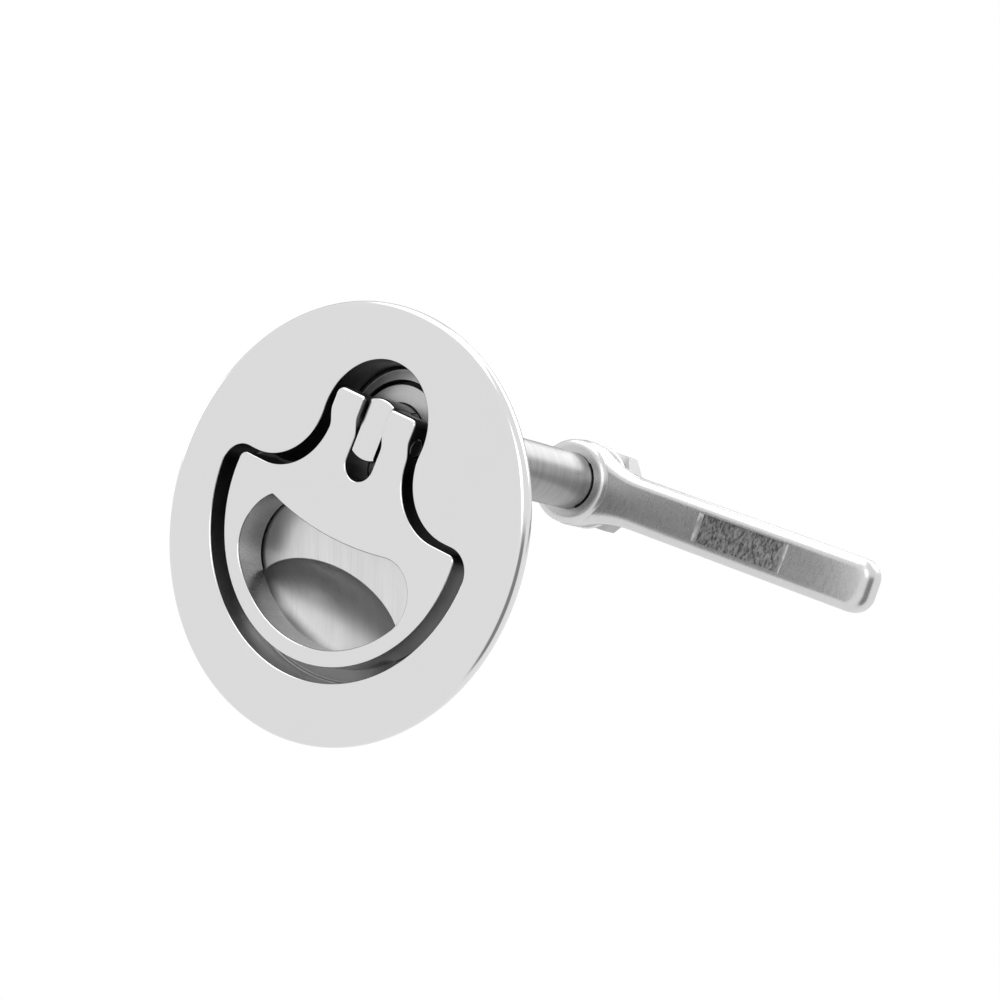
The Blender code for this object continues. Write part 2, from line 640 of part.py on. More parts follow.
# Spindle
def spindle_profile():
    """Half section of the spindle from the tongue's front to the stud's end."""
    seal_low = SEAL_Y - SEAL_SECTION_RADIUS - FIT
    seal_high = SEAL_Y + SEAL_SECTION_RADIUS + FIT
    seal_radius = SPINDLE_RADIUS - SEAL_GROOVE_DEPTH
    groove_low = RETAINER_Y - FIT
    groove_high = RETAINER_Y + RETAINER_THICKNESS + FIT
    groove_radius = SPINDLE_RADIUS - RETAINER_GROOVE_DEPTH
    front_y = HANDLE_FRONT_Y
    profile = [(0, front_y)]
    for step in range(ROUND_STEPS + 1):
        turn = math.pi / 2 * step / ROUND_STEPS
        profile.append((SPINDLE_RADIUS - SPINDLE_END_ROUND * (1 - math.sin(turn)),
                        front_y + SPINDLE_END_ROUND * (1 - math.cos(turn))))
    profile += [(SPINDLE_RADIUS, seal_low), (seal_radius, seal_low)]
    profile += [(seal_radius, seal_high), (SPINDLE_RADIUS, seal_high)]
    profile += [(SPINDLE_RADIUS, groove_low), (groove_radius, groove_low)]
    profile += [(groove_radius, groove_high), (SPINDLE_RADIUS, groove_high)]
    profile += [(SPINDLE_RADIUS, SEAT_END_Y), (STUD_RADIUS, SEAT_END_Y)]
    profile += [(STUD_RADIUS, STUD_END_Y - STUD_CHAMFER)]
    return profile + [(STUD_RADIUS - STUD_CHAMFER, STUD_END_Y), (0, STUD_END_Y)]


def make_spindle(steel):
    """The spindle: a tongue in front, a round shank, a seat with two flats and a stud behind."""
    spindle = finish_object("spindle", turned(spindle_profile(), SPINDLE_AXIS), steel, SPINDLE_AXIS)
    reach = 2 * SPINDLE_RADIUS
    for side, name in ((-1, "left"), (1, "right")):
        edges = sorted((side * TONGUE_WIDTH / 2, side * reach))
        low = (edges[0], FRONT_Y - FLANGE_THICKNESS, SPINDLE_Z - reach)
        high = (edges[1], FLOOR_Y, SPINDLE_Z + reach)
        combine(spindle, f"tongue_{name}_cut", box(low, high), "DIFFERENCE")
    combine(spindle, "tongue_pin_hole", pin_solid(PIN_RADIUS + FIT, SPINDLE_RADIUS, 0), "DIFFERENCE")
    for side, name in ((-1, "lower"), (1, "upper")):
        edges = sorted((side * SEAT_FLATS / 2, side * reach))
        low = (-reach, SHOULDER_Y, edges[0])
        high = (reach, ARM_WASHER_Y, edges[1])
        flat = box(low, high)
        tilt(flat)
        combine(spindle, f"seat_{name}_cut", flat, "DIFFERENCE")
    return spindle


def tilt(mesh):
    """Turns a mesh made about the origin by the arm's tilt, and sets it on the spindle axis."""
    bmesh.ops.rotate(mesh, verts=mesh.verts, matrix=Matrix.Rotation(-ARM_TILT, 3, "Y"))
    bmesh.ops.translate(mesh, verts=mesh.verts, vec=SPINDLE_AXIS)


# Small pieces on the spindle inside and behind the barrel
def make_bush(steel):
    """The flanged bush: its flange is the disc that shows behind the ears."""
    flange_y = FLOOR_Y + BUSH_FLANGE_THICKNESS
    profile = [(SPINDLE_BORE_RADIUS, FLOOR_Y), (BUSH_FLANGE_RADIUS, FLOOR_Y)]
    profile += [(BUSH_FLANGE_RADIUS, flange_y), (SLEEVE_RADIUS, flange_y)]
    profile += [(SLEEVE_RADIUS, SLEEVE_END_Y), (SPINDLE_BORE_RADIUS, SLEEVE_END_Y)]
    return finish_object("spindle_bush", turned(profile, SPINDLE_AXIS, closed=True), steel, SPINDLE_AXIS)


def make_seal(rubber):
    """The O-ring in its groove, which keeps water out of the barrel."""
    middle = SPINDLE_BORE_RADIUS - FIT - SEAL_SECTION_RADIUS
    profile = []
    for index in range(SEAL_SIDES):
        angle = 2 * math.pi * index / SEAL_SIDES
        profile.append((middle + SEAL_SECTION_RADIUS * math.cos(angle),
                        SEAL_Y + SEAL_SECTION_RADIUS * math.sin(angle)))
    return finish_object("spindle_seal", turned(profile, SPINDLE_AXIS, closed=True), rubber, SPINDLE_AXIS)


def swept_ring(inner, outer, thickness, start, end, height_at, closed):
    """A washer swept round the axis, whose lower face is at a height that changes with the angle."""
    mesh = bmesh.new()
    sections = []
    for index in range(SWEPT_STEPS if closed else SWEPT_STEPS + 1):
        angle = start + (end - start) * index / SWEPT_STEPS
        y = height_at(angle)
        section = []
        for radius, rise in ((inner, 0), (outer, 0), (outer, thickness), (inner, thickness)):
            section.append(mesh.verts.new((radius * math.cos(angle), y + rise, radius * math.sin(angle))))
        sections.append(section)
    pairs = list(zip(sections, sections[1:]))
    if closed:
        pairs.append((sections[-1], sections[0]))
    for section, next_section in pairs:
        wall_between(mesh, section, next_section)
    if not closed:
        mesh.faces.new(sections[0])
        mesh.faces.new(sections[-1])
    bmesh.ops.translate(mesh, verts=mesh.verts, vec=SPINDLE_AXIS)
    return mesh


def make_wave_washer(steel):
    """The wave washer, which takes up the end play and keeps the folded handle from rattling."""

    def height_at(angle):
        return WAVE_Y + WAVE_HEIGHT / 2 * math.sin(WAVE_COUNT * angle)

    mesh = swept_ring(SPINDLE_BORE_RADIUS, WAVE_WASHER_RADIUS, WAVE_WASHER_THICKNESS, 0, 2 * math.pi,
                      height_at, closed=True)
    return finish_object("wave_washer", mesh, steel, SPINDLE_AXIS)


def washer_profile(inner, outer, y, thickness):
    """Section of a flat washer."""
    return [(inner, y), (outer, y), (outer, y + thickness), (inner, y + thickness)]


def make_barrel_washer(steel):
    """The flat washer between the wave washer and the retaining ring."""
    profile = washer_profile(SPINDLE_BORE_RADIUS, BARREL_WASHER_RADIUS, BARREL_WASHER_Y,
                             BARREL_WASHER_THICKNESS)
    return finish_object("barrel_washer", turned(profile, SPINDLE_AXIS, closed=True), steel, SPINDLE_AXIS)


def retainer_outline():
    """A snap ring about the spindle axis, open below, with a lug at each end."""
    inner = SPINDLE_RADIUS - RETAINER_GROOVE_DEPTH + FIT
    outer = inner + RETAINER_WIDTH
    lug_reach = inner + RETAINER_LUG_RADIUS
    half_gap = RETAINER_GAP_ANGLE / 2
    lug_turn = RETAINER_LUG_RADIUS / lug_reach
    end_angle = -math.pi / 2 + half_gap + lug_turn
    lug_centre = (lug_reach * math.cos(end_angle), lug_reach * math.sin(end_angle))
    lug = arc(lug_centre, RETAINER_LUG_RADIUS, end_angle - math.pi, end_angle)
    half = lug + arc((0, 0), outer, end_angle + 2 * lug_turn, math.pi / 2)
    back = arc((0, 0), inner, math.pi / 2, end_angle + lug_turn)
    right = without_repeats(half)
    inside = without_repeats(back)
    left = [(-x, z) for x, z in reversed(right[:-1])]
    left_inside = [(-x, z) for x, z in reversed(inside)]
    return right + left + left_inside[:-1] + inside, lug_centre


def make_retaining_ring(steel):
    """The snap ring in the spindle's groove, which stops the spindle from being pulled out."""
    outline, lug_centre = retainer_outline()
    holes = []
    for side in (1, -1):
        hole_centre = (side * lug_centre[0], lug_centre[1])
        holes.append(arc(hole_centre, RETAINER_LUG_HOLE_RADIUS, 0, 2 * math.pi)[:-1])
    mesh = slab(outline, RETAINER_Y, RETAINER_Y + RETAINER_THICKNESS, 0, 0, holes=holes)
    bmesh.ops.translate(mesh, verts=mesh.verts, vec=SPINDLE_AXIS)
    return finish_object("retaining_ring", mesh, steel, SPINDLE_AXIS)


# Cam arm and its fasteners
def hub_profile():
    """Half section of the boss that stands proud of the bar round the spindle."""
    radius = HUB_RADIUS - HUB_BOSS_INSET
    profile = [(0, HUB_FRONT_Y)]
    for step in range(ROUND_STEPS * 2 + 1):
        turn = math.pi / 2 * step / (ROUND_STEPS * 2)
        profile.append((radius - HUB_BOSS_ROUND * (1 - math.sin(turn)),
                        HUB_FRONT_Y + HUB_BOSS_ROUND * (1 - math.cos(turn))))
    middle = (ARM_FRONT_Y + ARM_REAR_Y) / 2
    return profile + [(radius, middle), (0, middle)]


def make_arm(steel):
    """The cam arm: a cast bar with rounded edges, a round hub and a shallow rough pocket."""
    mesh = slab(arm_outline(), ARM_FRONT_Y, ARM_REAR_Y, ARM_EDGE_ROUND, ARM_EDGE_ROUND)
    tilt(mesh)
    arm = finish_object("cam_arm", mesh, steel, SPINDLE_AXIS)
    combine(arm, "arm_hub_form", turned(hub_profile(), SPINDLE_AXIS), "UNION")
    seat = half_flat_outline(SPINDLE_RADIUS + FIT, SEAT_FLATS / 2 + FIT)
    seat_cut = slab(seat, SHOULDER_Y - ARM_THICKNESS, ARM_REAR_Y + ARM_THICKNESS, 0, 0)
    tilt(seat_cut)
    combine(arm, "arm_seat_cut", seat_cut, "DIFFERENCE")
    combine(arm, "arm_pocket_cut", pocket_cutter(), "DIFFERENCE")
    return arm


def pocket_cutter():
    """The shallow pocket in the front of the bar, with sloped ends."""
    half_width = ARM_WIDTH / 2 - ARM_EDGE_ROUND - POCKET_SIDE_LAND
    floor_y = ARM_FRONT_Y + POCKET_DEPTH
    above_y = ARM_FRONT_Y - POCKET_DEPTH
    mesh = bmesh.new()
    rings = []
    for y, grow in ((above_y, POCKET_END_SLOPE), (floor_y, -POCKET_END_SLOPE)):
        start = POCKET_START - grow
        end = POCKET_END + grow
        corners = [(start, -half_width), (end, -half_width), (end, half_width), (start, half_width)]
        rings.append(ring_of(mesh, corners, y))
    wall_between(mesh, rings[0], rings[1])
    for ring in rings:
        mesh.faces.new(ring)
    tilt(mesh)
    return mesh


def make_arm_washer(steel):
    """The flat washer behind the arm's hub."""
    profile = washer_profile(STUD_HOLE_RADIUS, ARM_WASHER_RADIUS, ARM_WASHER_Y, ARM_WASHER_THICKNESS)
    return finish_object("arm_washer", turned(profile, SPINDLE_AXIS, closed=True), steel, SPINDLE_AXIS)


def make_lock_washer(steel):
    """The split spring washer under the nut, with its ends a little apart in height."""
    start = math.pi / 2 + LOCK_WASHER_GAP_ANGLE / 2
    end = start + 2 * math.pi - LOCK_WASHER_GAP_ANGLE

    def height_at(angle):
        return LOCK_WASHER_Y + LOCK_WASHER_RISE * (angle - start) / (end - start)

    mesh = swept_ring(STUD_HOLE_RADIUS, LOCK_WASHER_RADIUS, LOCK_WASHER_THICKNESS, start, end,
                      height_at, closed=False)
    return finish_object("lock_washer", mesh, steel, SPINDLE_AXIS)


def make_nut(steel):
    """The hexagon nut, chamfered on both faces, whose thread is left plain."""
    corner_radius = NUT_FLATS / 2 / math.cos(math.pi / 6)
    rise = (corner_radius - NUT_FLATS / 2) * math.tan(NUT_CHAMFER_ANGLE)
    rear_y = NUT_Y + NUT_THICKNESS
    corners = []
    for index in range(6):
        angle = NUT_TURN + math.pi / 3 * index
        corners.append((corner_radius * math.cos(angle), corner_radius * math.sin(angle)))
    prism = slab(corners, NUT_Y, rear_y, 0, 0)
    bmesh.ops.translate(prism, verts=prism.verts, vec=SPINDLE_AXIS)
    nut = finish_object("hex_nut", prism, steel, SPINDLE_AXIS)
    bevelled = [(0, NUT_Y - rise), (NUT_FLATS / 2 - rise, NUT_Y - rise), (NUT_FLATS / 2, NUT_Y)]
    bevelled += [(corner_radius + rise, NUT_Y + rise * 2), (corner_radius + rise, rear_y - rise * 2)]
    bevelled += [(NUT_FLATS / 2, rear_y), (NUT_FLATS / 2 - rise, rear_y + rise), (0, rear_y + rise)]
    combine(nut, "nut_chamfer", turned(bevelled, SPINDLE_AXIS), "INTERSECT")
    hole = washer_profile(0, STUD_HOLE_RADIUS, NUT_Y - NUT_THICKNESS, NUT_THICKNESS * 3)
    combine(nut, "nut_hole", turned(hole, SPINDLE_AXIS), "DIFFERENCE")
    return nut


def build():
    """Makes every piece of the latch."""
    clear_scene()
    polished = metal("polished_stainless", 0.78, 0.12)
    turned_steel = metal("turned_stainless", 0.62, 0.30)
    cast_steel = metal("cast_stainless", 0.66, 0.26)
    fastener_steel = metal("fastener_stainless", 0.64, 0.28)
    bush_metal = metal("bush_metal", 0.55, 0.35)
    rubber = metal("black_rubber", 0.02, 0.60, metallic=0.0)
    make_housing(polished)
    make_handle(polished)
    make_pin(turned_steel)
    make_spindle(turned_steel)
    make_bush(bush_metal)
    make_seal(rubber)
    make_wave_washer(fastener_steel)
    make_barrel_washer(fastener_steel)
    make_retaining_ring(fastener_steel)
    make_arm(cast_steel)
    make_arm_washer(fastener_steel)
    make_lock_washer(fastener_steel)
    make_nut(fastener_steel)


build()
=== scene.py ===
import math

import bmesh
import bpy
from mathutils import Matrix, Vector


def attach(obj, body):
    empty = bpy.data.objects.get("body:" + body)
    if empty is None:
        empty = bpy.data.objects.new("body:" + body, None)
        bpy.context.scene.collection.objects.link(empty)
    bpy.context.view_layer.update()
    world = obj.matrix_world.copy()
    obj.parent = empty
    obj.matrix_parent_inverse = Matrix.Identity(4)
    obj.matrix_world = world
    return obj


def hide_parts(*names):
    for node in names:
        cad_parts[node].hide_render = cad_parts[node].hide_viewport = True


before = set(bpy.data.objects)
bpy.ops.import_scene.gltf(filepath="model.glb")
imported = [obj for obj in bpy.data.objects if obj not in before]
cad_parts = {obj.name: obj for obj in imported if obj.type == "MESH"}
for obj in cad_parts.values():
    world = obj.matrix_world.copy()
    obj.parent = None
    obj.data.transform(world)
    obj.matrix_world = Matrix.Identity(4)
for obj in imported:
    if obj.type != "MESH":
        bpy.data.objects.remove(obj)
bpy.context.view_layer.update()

scene = bpy.context.scene


# Camera: it looks at the flange from the front right and a little above, and it is rolled so that the
# latch seems to lean to the right.
CAMERA_RIGHT = Vector((0.7527, 0.5450, 0.3694))
CAMERA_UP = Vector((-0.3761, -0.1046, 0.9207))
CAMERA_BACK = Vector((0.5404, -0.8319, 0.1262))
CAMERA_PLACE = Vector((0.2162, -0.2783, 0.0500))
LENS_LENGTH = 75.18
LENS_SHIFT = (-0.020, 0.060)
NEAREST_SEEN = 0.01
FARTHEST_SEEN = 30

lens = bpy.data.cameras.new("view")
lens.lens = LENS_LENGTH
lens.shift_x, lens.shift_y = LENS_SHIFT
lens.clip_start = NEAREST_SEEN
lens.clip_end = FARTHEST_SEEN
camera = bpy.data.objects.new("view", lens)
camera.matrix_world = Matrix.Translation(CAMERA_PLACE) @ Matrix(
    (CAMERA_RIGHT, CAMERA_UP, CAMERA_BACK)).transposed().to_4x4()
scene.collection.objects.link(camera)
scene.camera = camera
scene.view_settings.view_transform = "Standard"


# The studio: a white room with two dimmer parts, a pale floor well below the latch, and four soft boxes.
# Shiny steel shows this room, so the room's tones are what make the metal read as metal.
class Wire:
    """An output socket. Arithmetic on wires and numbers adds Math nodes."""

    def __init__(self, nodes, socket):
        self.nodes = nodes
        self.socket = socket

    def maths(self, operation, *terms):
        return self.nodes.add("ShaderNodeMath", {"operation": operation}, dict(enumerate(terms)))

    def __add__(self, other):
        return self.maths("ADD", self, other)

    def __radd__(self, other):
        return self.maths("ADD", other, self)

    def __sub__(self, other):
        return self.maths("SUBTRACT", self, other)

    def __rsub__(self, other):
        return self.maths("SUBTRACT", other, self)

    def __mul__(self, other):
        return self.maths("MULTIPLY", self, other)

    def __rmul__(self, other):
        return self.maths("MULTIPLY", other, self)


class Nodes:
    """The node tree of a material or a world, emptied and filled by one method."""

    def __init__(self, owner):
        owner.use_nodes = True
        self.tree = owner.node_tree
        self.tree.nodes.clear()

    @staticmethod
    def socket(sockets, key):
        """The socket with an identifier, or else the one with a name or a number."""
        for socket in sockets:
            if socket.identifier == key:
                return socket
        return sockets[key]

    def add(self, kind, settings=None, values=None, out=0):
        """Adds a node with its settings and its sockets' values or links, and gives one output."""
        node = self.tree.nodes.new(kind)
        for name, value in (settings or {}).items():
            setattr(node, name, value)
        for key, value in (values or {}).items():
            target = self.socket(node.inputs, key)
            if isinstance(value, Wire):
                self.tree.links.new(value.socket, target)
            else:
                target.default_value = value
        return Wire(self, self.socket(node.outputs, out)) if node.outputs else None

    def between(self, value, low, high, low_tone, high_tone):
        """A smooth step from one tone to another as the value passes from low to high."""
        return self.add("ShaderNodeMapRange", {"interpolation_type": "SMOOTHSTEP"},
                        {"Value": value, "From Min": low, "From Max": high,
                         "To Min": low_tone, "To Max": high_tone})

    def rising(self, value, low, high):
        """0 up to low, and 1 from high on."""
        return self.between(value, low, high, 0.0, 1.0)

    def falling(self, value, low, high):
        """1 up to low, and 0 from high on."""
        return self.between(value, low, high, 1.0, 0.0)

    def most(self, first, second):
        """The larger of two values."""
        return first.maths("MAXIMUM", first, second)

    def along(self, vector, direction):
        """How far a vector reaches along a direction."""
        return self.add("ShaderNodeVectorMath", {"operation": "DOT_PRODUCT"},
                        {0: vector, 1: direction}, out="Value")


ROOM_WHITE = 0.98
ROOM_DIM = 0.28
ROOM_HORIZON = 0.36
DIM_RIGHT = (0.76, 0.88)
DIM_BACK = (0.30, 0.50)
DIM_UP = (0.30, 0.50)
HORIZON_LOW = (-0.42, -0.24)
HORIZON_HIGH = (0.26, 0.42)
HORIZON_BACK = (0.3, 0.6)
HORIZON_RIGHT = (-0.36, -0.16)


def room_tone(nodes, way):
    """The room's tone in a direction: white, dim far to the right, with a grey horizon behind on the left."""
    right = nodes.along(way, (1, 0, 0))
    back = nodes.along(way, (0, 1, 0))
    up = nodes.along(way, (0, 0, 1))
    dim = nodes.rising(right, *DIM_RIGHT) * nodes.falling(back, *DIM_BACK) * nodes.falling(up, *DIM_UP)
    level = nodes.rising(up, *HORIZON_LOW) * nodes.falling(up, *HORIZON_HIGH)
    horizon = level * nodes.rising(back, *HORIZON_BACK) * nodes.falling(right, *HORIZON_RIGHT)
    return ROOM_WHITE - dim * (ROOM_WHITE - ROOM_DIM) - (1 - dim) * horizon * (ROOM_WHITE - ROOM_HORIZON)


world = bpy.data.worlds.new("studio")
scene.world = world
room = Nodes(world)
looking = room.add("ShaderNodeTexCoord", out="Generated")
seen = room.add("ShaderNodeLightPath", out="Is Camera Ray")
shown = room.add("ShaderNodeMix", {"data_type": "FLOAT"},
                 {"Factor_Float": seen, "A_Float": room_tone(room, looking), "B_Float": 1.0})
light = room.add("ShaderNodeBackground", None, {"Color": shown, "Strength": 1.0})
room.add("ShaderNodeOutputWorld", None, {"Surface": light})

FLOOR_Z = -0.16
FLOOR_REACH = 4.0
FLOOR_SIDES = 64
PAPER_GREY = 0.86
PAPER_GLOW = 0.95
PAPER_FADE = (0.4, 1.6)

floor_mesh = bmesh.new()
bmesh.ops.create_circle(floor_mesh, cap_ends=True, radius=FLOOR_REACH, segments=FLOOR_SIDES)
floor_data = bpy.data.meshes.new("studio_floor")
floor_mesh.to_mesh(floor_data)
floor_mesh.free()
floor = bpy.data.objects.new("studio_floor", floor_data)
floor.location.z = FLOOR_Z
scene.collection.objects.link(floor)
paper = bpy.data.materials.new("studio_paper")
floor_data.materials.append(paper)
sheet = Nodes(paper)
on_floor = sheet.add("ShaderNodeTexCoord", out="Object")
from_latch = sheet.add("ShaderNodeVectorMath", {"operation": "ADD"}, {0: on_floor, 1: (0, 0, FLOOR_Z)})
way_down = sheet.add("ShaderNodeVectorMath", {"operation": "NORMALIZE"}, {0: from_latch})
far_off = sheet.add("ShaderNodeVectorMath", {"operation": "LENGTH"}, {0: on_floor}, out="Value")
camera_ray = sheet.add("ShaderNodeLightPath", out="Is Camera Ray")
glossy_ray = sheet.add("ShaderNodeLightPath", out="Is Glossy Ray")
sheet_tone = sheet.add("ShaderNodeMix", {"data_type": "FLOAT"},
                       {"Factor_Float": camera_ray, "A_Float": room_tone(sheet, way_down), "B_Float": 1.0})
plain = sheet.add("ShaderNodeBsdfDiffuse", None, {"Color": (PAPER_GREY, PAPER_GREY, PAPER_GREY, 1)})
glow = sheet.add("ShaderNodeEmission", None, {"Color": sheet_tone, "Strength": 1.0})
paper_white = camera_ray * sheet.between(far_off, *PAPER_FADE, PAPER_GLOW, 1.0)
both = sheet.add("ShaderNodeMixShader", None,
                 {"Fac": sheet.most(glossy_ray, paper_white), 1: plain, 2: glow})
sheet.add("ShaderNodeOutputMaterial", None, {"Surface": both})


BOX_DISTANCE = 1.0


def soft_box(name, direction, width, height, watts):
    """An area lamp that hangs in a direction from the latch and faces it."""
    lamp = bpy.data.lights.new(name, "AREA")
    lamp.shape = "RECTANGLE"
    lamp.size = width
    lamp.size_y = height
    lamp.energy = watts
    box = bpy.data.objects.new(name, lamp)
    towards = Vector(direction).normalized()
    box.location = towards * BOX_DISTANCE
    box.rotation_euler = towards.to_track_quat("Z", "Y").to_euler()
    scene.collection.objects.link(box)


soft_box("overhead_box", (-0.42, -0.12, 0.90), width=0.9, height=0.9, watts=4.0)
soft_box("rear_box", (-0.10, 0.80, 0.62), width=0.8, height=0.5, watts=2.3)
soft_box("front_box", (0.42, -0.72, 0.52), width=0.5, height=0.5, watts=1.1)
soft_box("left_box", (-0.98, 0.04, -0.10), width=0.3, height=0.3, watts=0.42)


# Housing: one stainless steel casting, a round flange round a bell-shaped recess with a finger well.
# Behind it are the pan, the barrel that the spindle turns in, and four posts for screws from the rear.
# The face is polished, the recess is brushed, its wall and floor carry painted shade and some painted light,
# and the back is left as it was cast.
FINE_STEP = math.radians(3)
CORNER_STEP = math.radians(15)
EDGE_STEPS = 7
FLANGE_SIDES = 192
ROUND_SIDES = 112
POST_SIDES = 56
SAME_PLACE = 0.00001
FINE_EDGE = 0.0001
SHARP_ANGLE = math.radians(32)
FLAT_FACE_WEIGHT = 90

FLANGE_RADIUS = 0.038
FRONT_Y = -0.003
FLANGE_EDGE_ROUND = 0.0012
RIM_CROWN = 0.0005
RIM_CROWN_DEPTH = 0.0016
REAR_EDGE_BREAK = 0.0002
FLOOR_Y = 0.0041
PAN_WALL = 0.002
PAN_REAR_Y = FLOOR_Y + PAN_WALL
PAN_REAR_ROUND = 0.0010
ROOT_FILLET = 0.0007
ROOT_SUNK = 0.00004
ROOT_SHARE = 0.98

BOWL_RADIUS = 0.0285
BOWL_Z = 0.0013
BOWL_CORNER_RADIUS = 0.0044
SHOULDER_Z = 0.0049
FLANK_RADIUS = 0.011
HEAD_RADIUS = 0.0112
HEAD_Z = 0.0175
MOUTH_ROUND = 0.0004
FLOOR_FILLET = 0.0006
EAR_FLOOR_Z = 0.012

WELL_HALF_WIDTH = 0.0171
WELL_HALF_HEIGHT = 0.0093
WELL_Z = -0.0176
WELL_DEPTH = 0.0070
WELL_WALL = 0.0018
WELL_LIP = 0.0003
WELL_LIP_STEPS = 4
WELL_ROWS = 20
WELL_SLACK = 1.4
BULGE_FLARE = 0.0004

SPINDLE_Z = 0.0168
SPINDLE_BORE_RADIUS = 0.0058
BARREL_RADIUS = 0.0095
BARREL_END_Y = 0.0201
BARREL_ROOT_FILLET = 0.0025
BARREL_END_ROUND = 0.0005
BUSH_FLANGE_RADIUS = 0.0090
BUSH_FLANGE_GAP = 0.0005
BUSH_FLANGE_END_Y = FLOOR_Y + 0.0011
COUNTERBORE_EDGE = 0.0002
SLEEVE_RADIUS = 0.0073
SLEEVE_END_Y = 0.0111
FIT = 0.0003

POST_PLACES = ((-0.02048, 0.02151), (0.02048, 0.02151), (-0.01202, -0.03181), (0.01202, -0.03181))
POST_RADIUS = 0.0032
POST_HEIGHT = 0.0050
POST_BORE_RADIUS = 0.00165
POST_BORE_BOTTOM = 0.0008
POST_DRILL_POINT = 0.0008
POST_END_ROUND = 0.0004
POST_BORE_EDGE = 0.0002

SPINDLE_AXIS = Vector((0.0, 0.0, SPINDLE_Z))
ORIGIN = Vector((0.0, 0.0, 0.0))


def arc(centre, radius, start, end):
    """Points on an arc in the flange's plane, from one angle to another, both ends included."""
    count = max(4, math.ceil(abs(end - start) / FINE_STEP))
    points = []
    for index in range(count + 1):
        angle = start + (end - start) * index / count
        points.append((centre[0] + radius * math.cos(angle), centre[1] + radius * math.sin(angle)))
    return points


def mirrored(half):
    """Closes an outline from its right half, which runs from the lower centre to the upper one."""
    return half + [(-x, z) for x, z in reversed(half[1:-1])]


def without_repeats(outline):
    """Drops points that lie on the point before them."""
    kept = []
    for point in outline:
        if not kept or (Vector(point) - Vector(kept[-1])).length > SAME_PLACE:
            kept.append(point)
    return kept


SHARPEST_MITRE = 0.5


def offset(outline, distance):
    """Moves an outline outwards by a distance, or inwards if it is negative."""
    moved = []
    for index, point in enumerate(outline):
        here = Vector(point)
        first = (here - Vector(outline[index - 1])).normalized()
        second = (Vector(outline[(index + 1) % len(outline)]) - here).normalized()
        normal = Vector((first.y + second.y, -first.x - second.x)).normalized()
        stretch = max(normal.dot(Vector((first.y, -first.x))), SHARPEST_MITRE)
        moved.append(tuple(here + normal * (distance / stretch)))
    return moved


def bowl_and_corner(centre_z, radius, corner_radius, shoulder_z):
    """Right side of a bowl from its lowest point, round its upper corner to the shoulder."""
    corner_z = shoulder_z - corner_radius
    corner_x = math.sqrt((radius - corner_radius) ** 2 - (corner_z - centre_z) ** 2)
    turn = math.atan2(corner_z - centre_z, corner_x)
    points = arc((0, centre_z), radius, -math.pi / 2, turn)
    return points + arc((corner_x, corner_z), corner_radius, turn, math.pi / 2)


def recess_outline():
    """The bell-shaped mouth of the recess."""
    flank_z = SHOULDER_Z + FLANK_RADIUS
    flank_x = math.sqrt((HEAD_RADIUS + FLANK_RADIUS) ** 2 - (HEAD_Z - flank_z) ** 2)
    turn = math.atan2(HEAD_Z - flank_z, flank_x)
    half = bowl_and_corner(BOWL_Z, BOWL_RADIUS, BOWL_CORNER_RADIUS, SHOULDER_Z)
    half += arc((flank_x, flank_z), FLANK_RADIUS, -math.pi / 2, -math.pi - turn)
    half += arc((0, HEAD_Z), HEAD_RADIUS, -turn, math.pi / 2)
    return without_repeats(mirrored(half))


def ellipse(half_width, half_height, centre=(0, WELL_Z), sides=ROUND_SIDES):
    """An oval outline, by default about the middle of the finger well."""
    points = []
    for index in range(sides):
        angle = 2 * math.pi * index / sides
        points.append((centre[0] + half_width * math.cos(angle), centre[1] + half_height * math.sin(angle)))
    return points


def circle(radius, centre=(0, SPINDLE_Z), sides=ROUND_SIDES):
    """A round outline, by default about the spindle."""
    return ellipse(radius, radius, centre, sides)


def ring_of(mesh, outline, y):
    """A closed ring of vertices on one level, with the edges between them."""
    verts = [mesh.verts.new((x, y, z)) for x, z in outline]
    for first, second in zip(verts, verts[1:] + verts[:1]):
        mesh.edges.new((first, second))
    return verts


def skin(mesh, rings):
    """Joins rings of the same count with walls, one after another."""
    for ring, next_ring in zip(rings, rings[1:]):
        for index in range(len(ring)):
            after = (index + 1) % len(ring)
            mesh.faces.new((ring[index], ring[after], next_ring[after], next_ring[index]))


def cap(mesh, *rings):
    """Closes one flat face that has the first ring as its rim and the others as holes."""
    edges = []
    for ring in rings:
        edges += [mesh.edges.get(pair) for pair in zip(ring, ring[1:] + ring[:1])]
    bmesh.ops.triangle_fill(mesh, edges=edges, use_beauty=True)


def cone(mesh, ring, tip):
    """Closes a ring with faces that meet in one point."""
    pole = mesh.verts.new(tip)
    for first, second in zip(ring, ring[1:] + ring[:1]):
        mesh.faces.new((first, second, pole))


def rounded(corners, closed=False):
    """A line of (across, along, radius) corners, each rounded to its radius."""
    points = []
    for index, (across, along, radius) in enumerate(corners):
        here = Vector((across, along))
        at_end = not closed and index in (0, len(corners) - 1)
        if radius == 0 or at_end:
            points.append(tuple(here))
            continue
        into = (Vector(corners[index - 1][:2]) - here).normalized()
        out = (Vector(corners[(index + 1) % len(corners)][:2]) - here).normalized()
        half = into.angle(out) / 2
        centre = here + (into + out).normalized() * (radius / math.sin(half))
        start = here + into * (radius / math.tan(half)) - centre
        end = here + out * (radius / math.tan(half)) - centre
        turn = math.atan2(start.x * end.y - start.y * end.x, start.dot(end))
        first = math.atan2(start.y, start.x)
        steps = max(2, math.ceil(abs(turn) / CORNER_STEP))
        for step in range(steps + 1):
            angle = first + turn * step / steps
            points.append((centre.x + radius * math.cos(angle), centre.y + radius * math.sin(angle)))
    return points


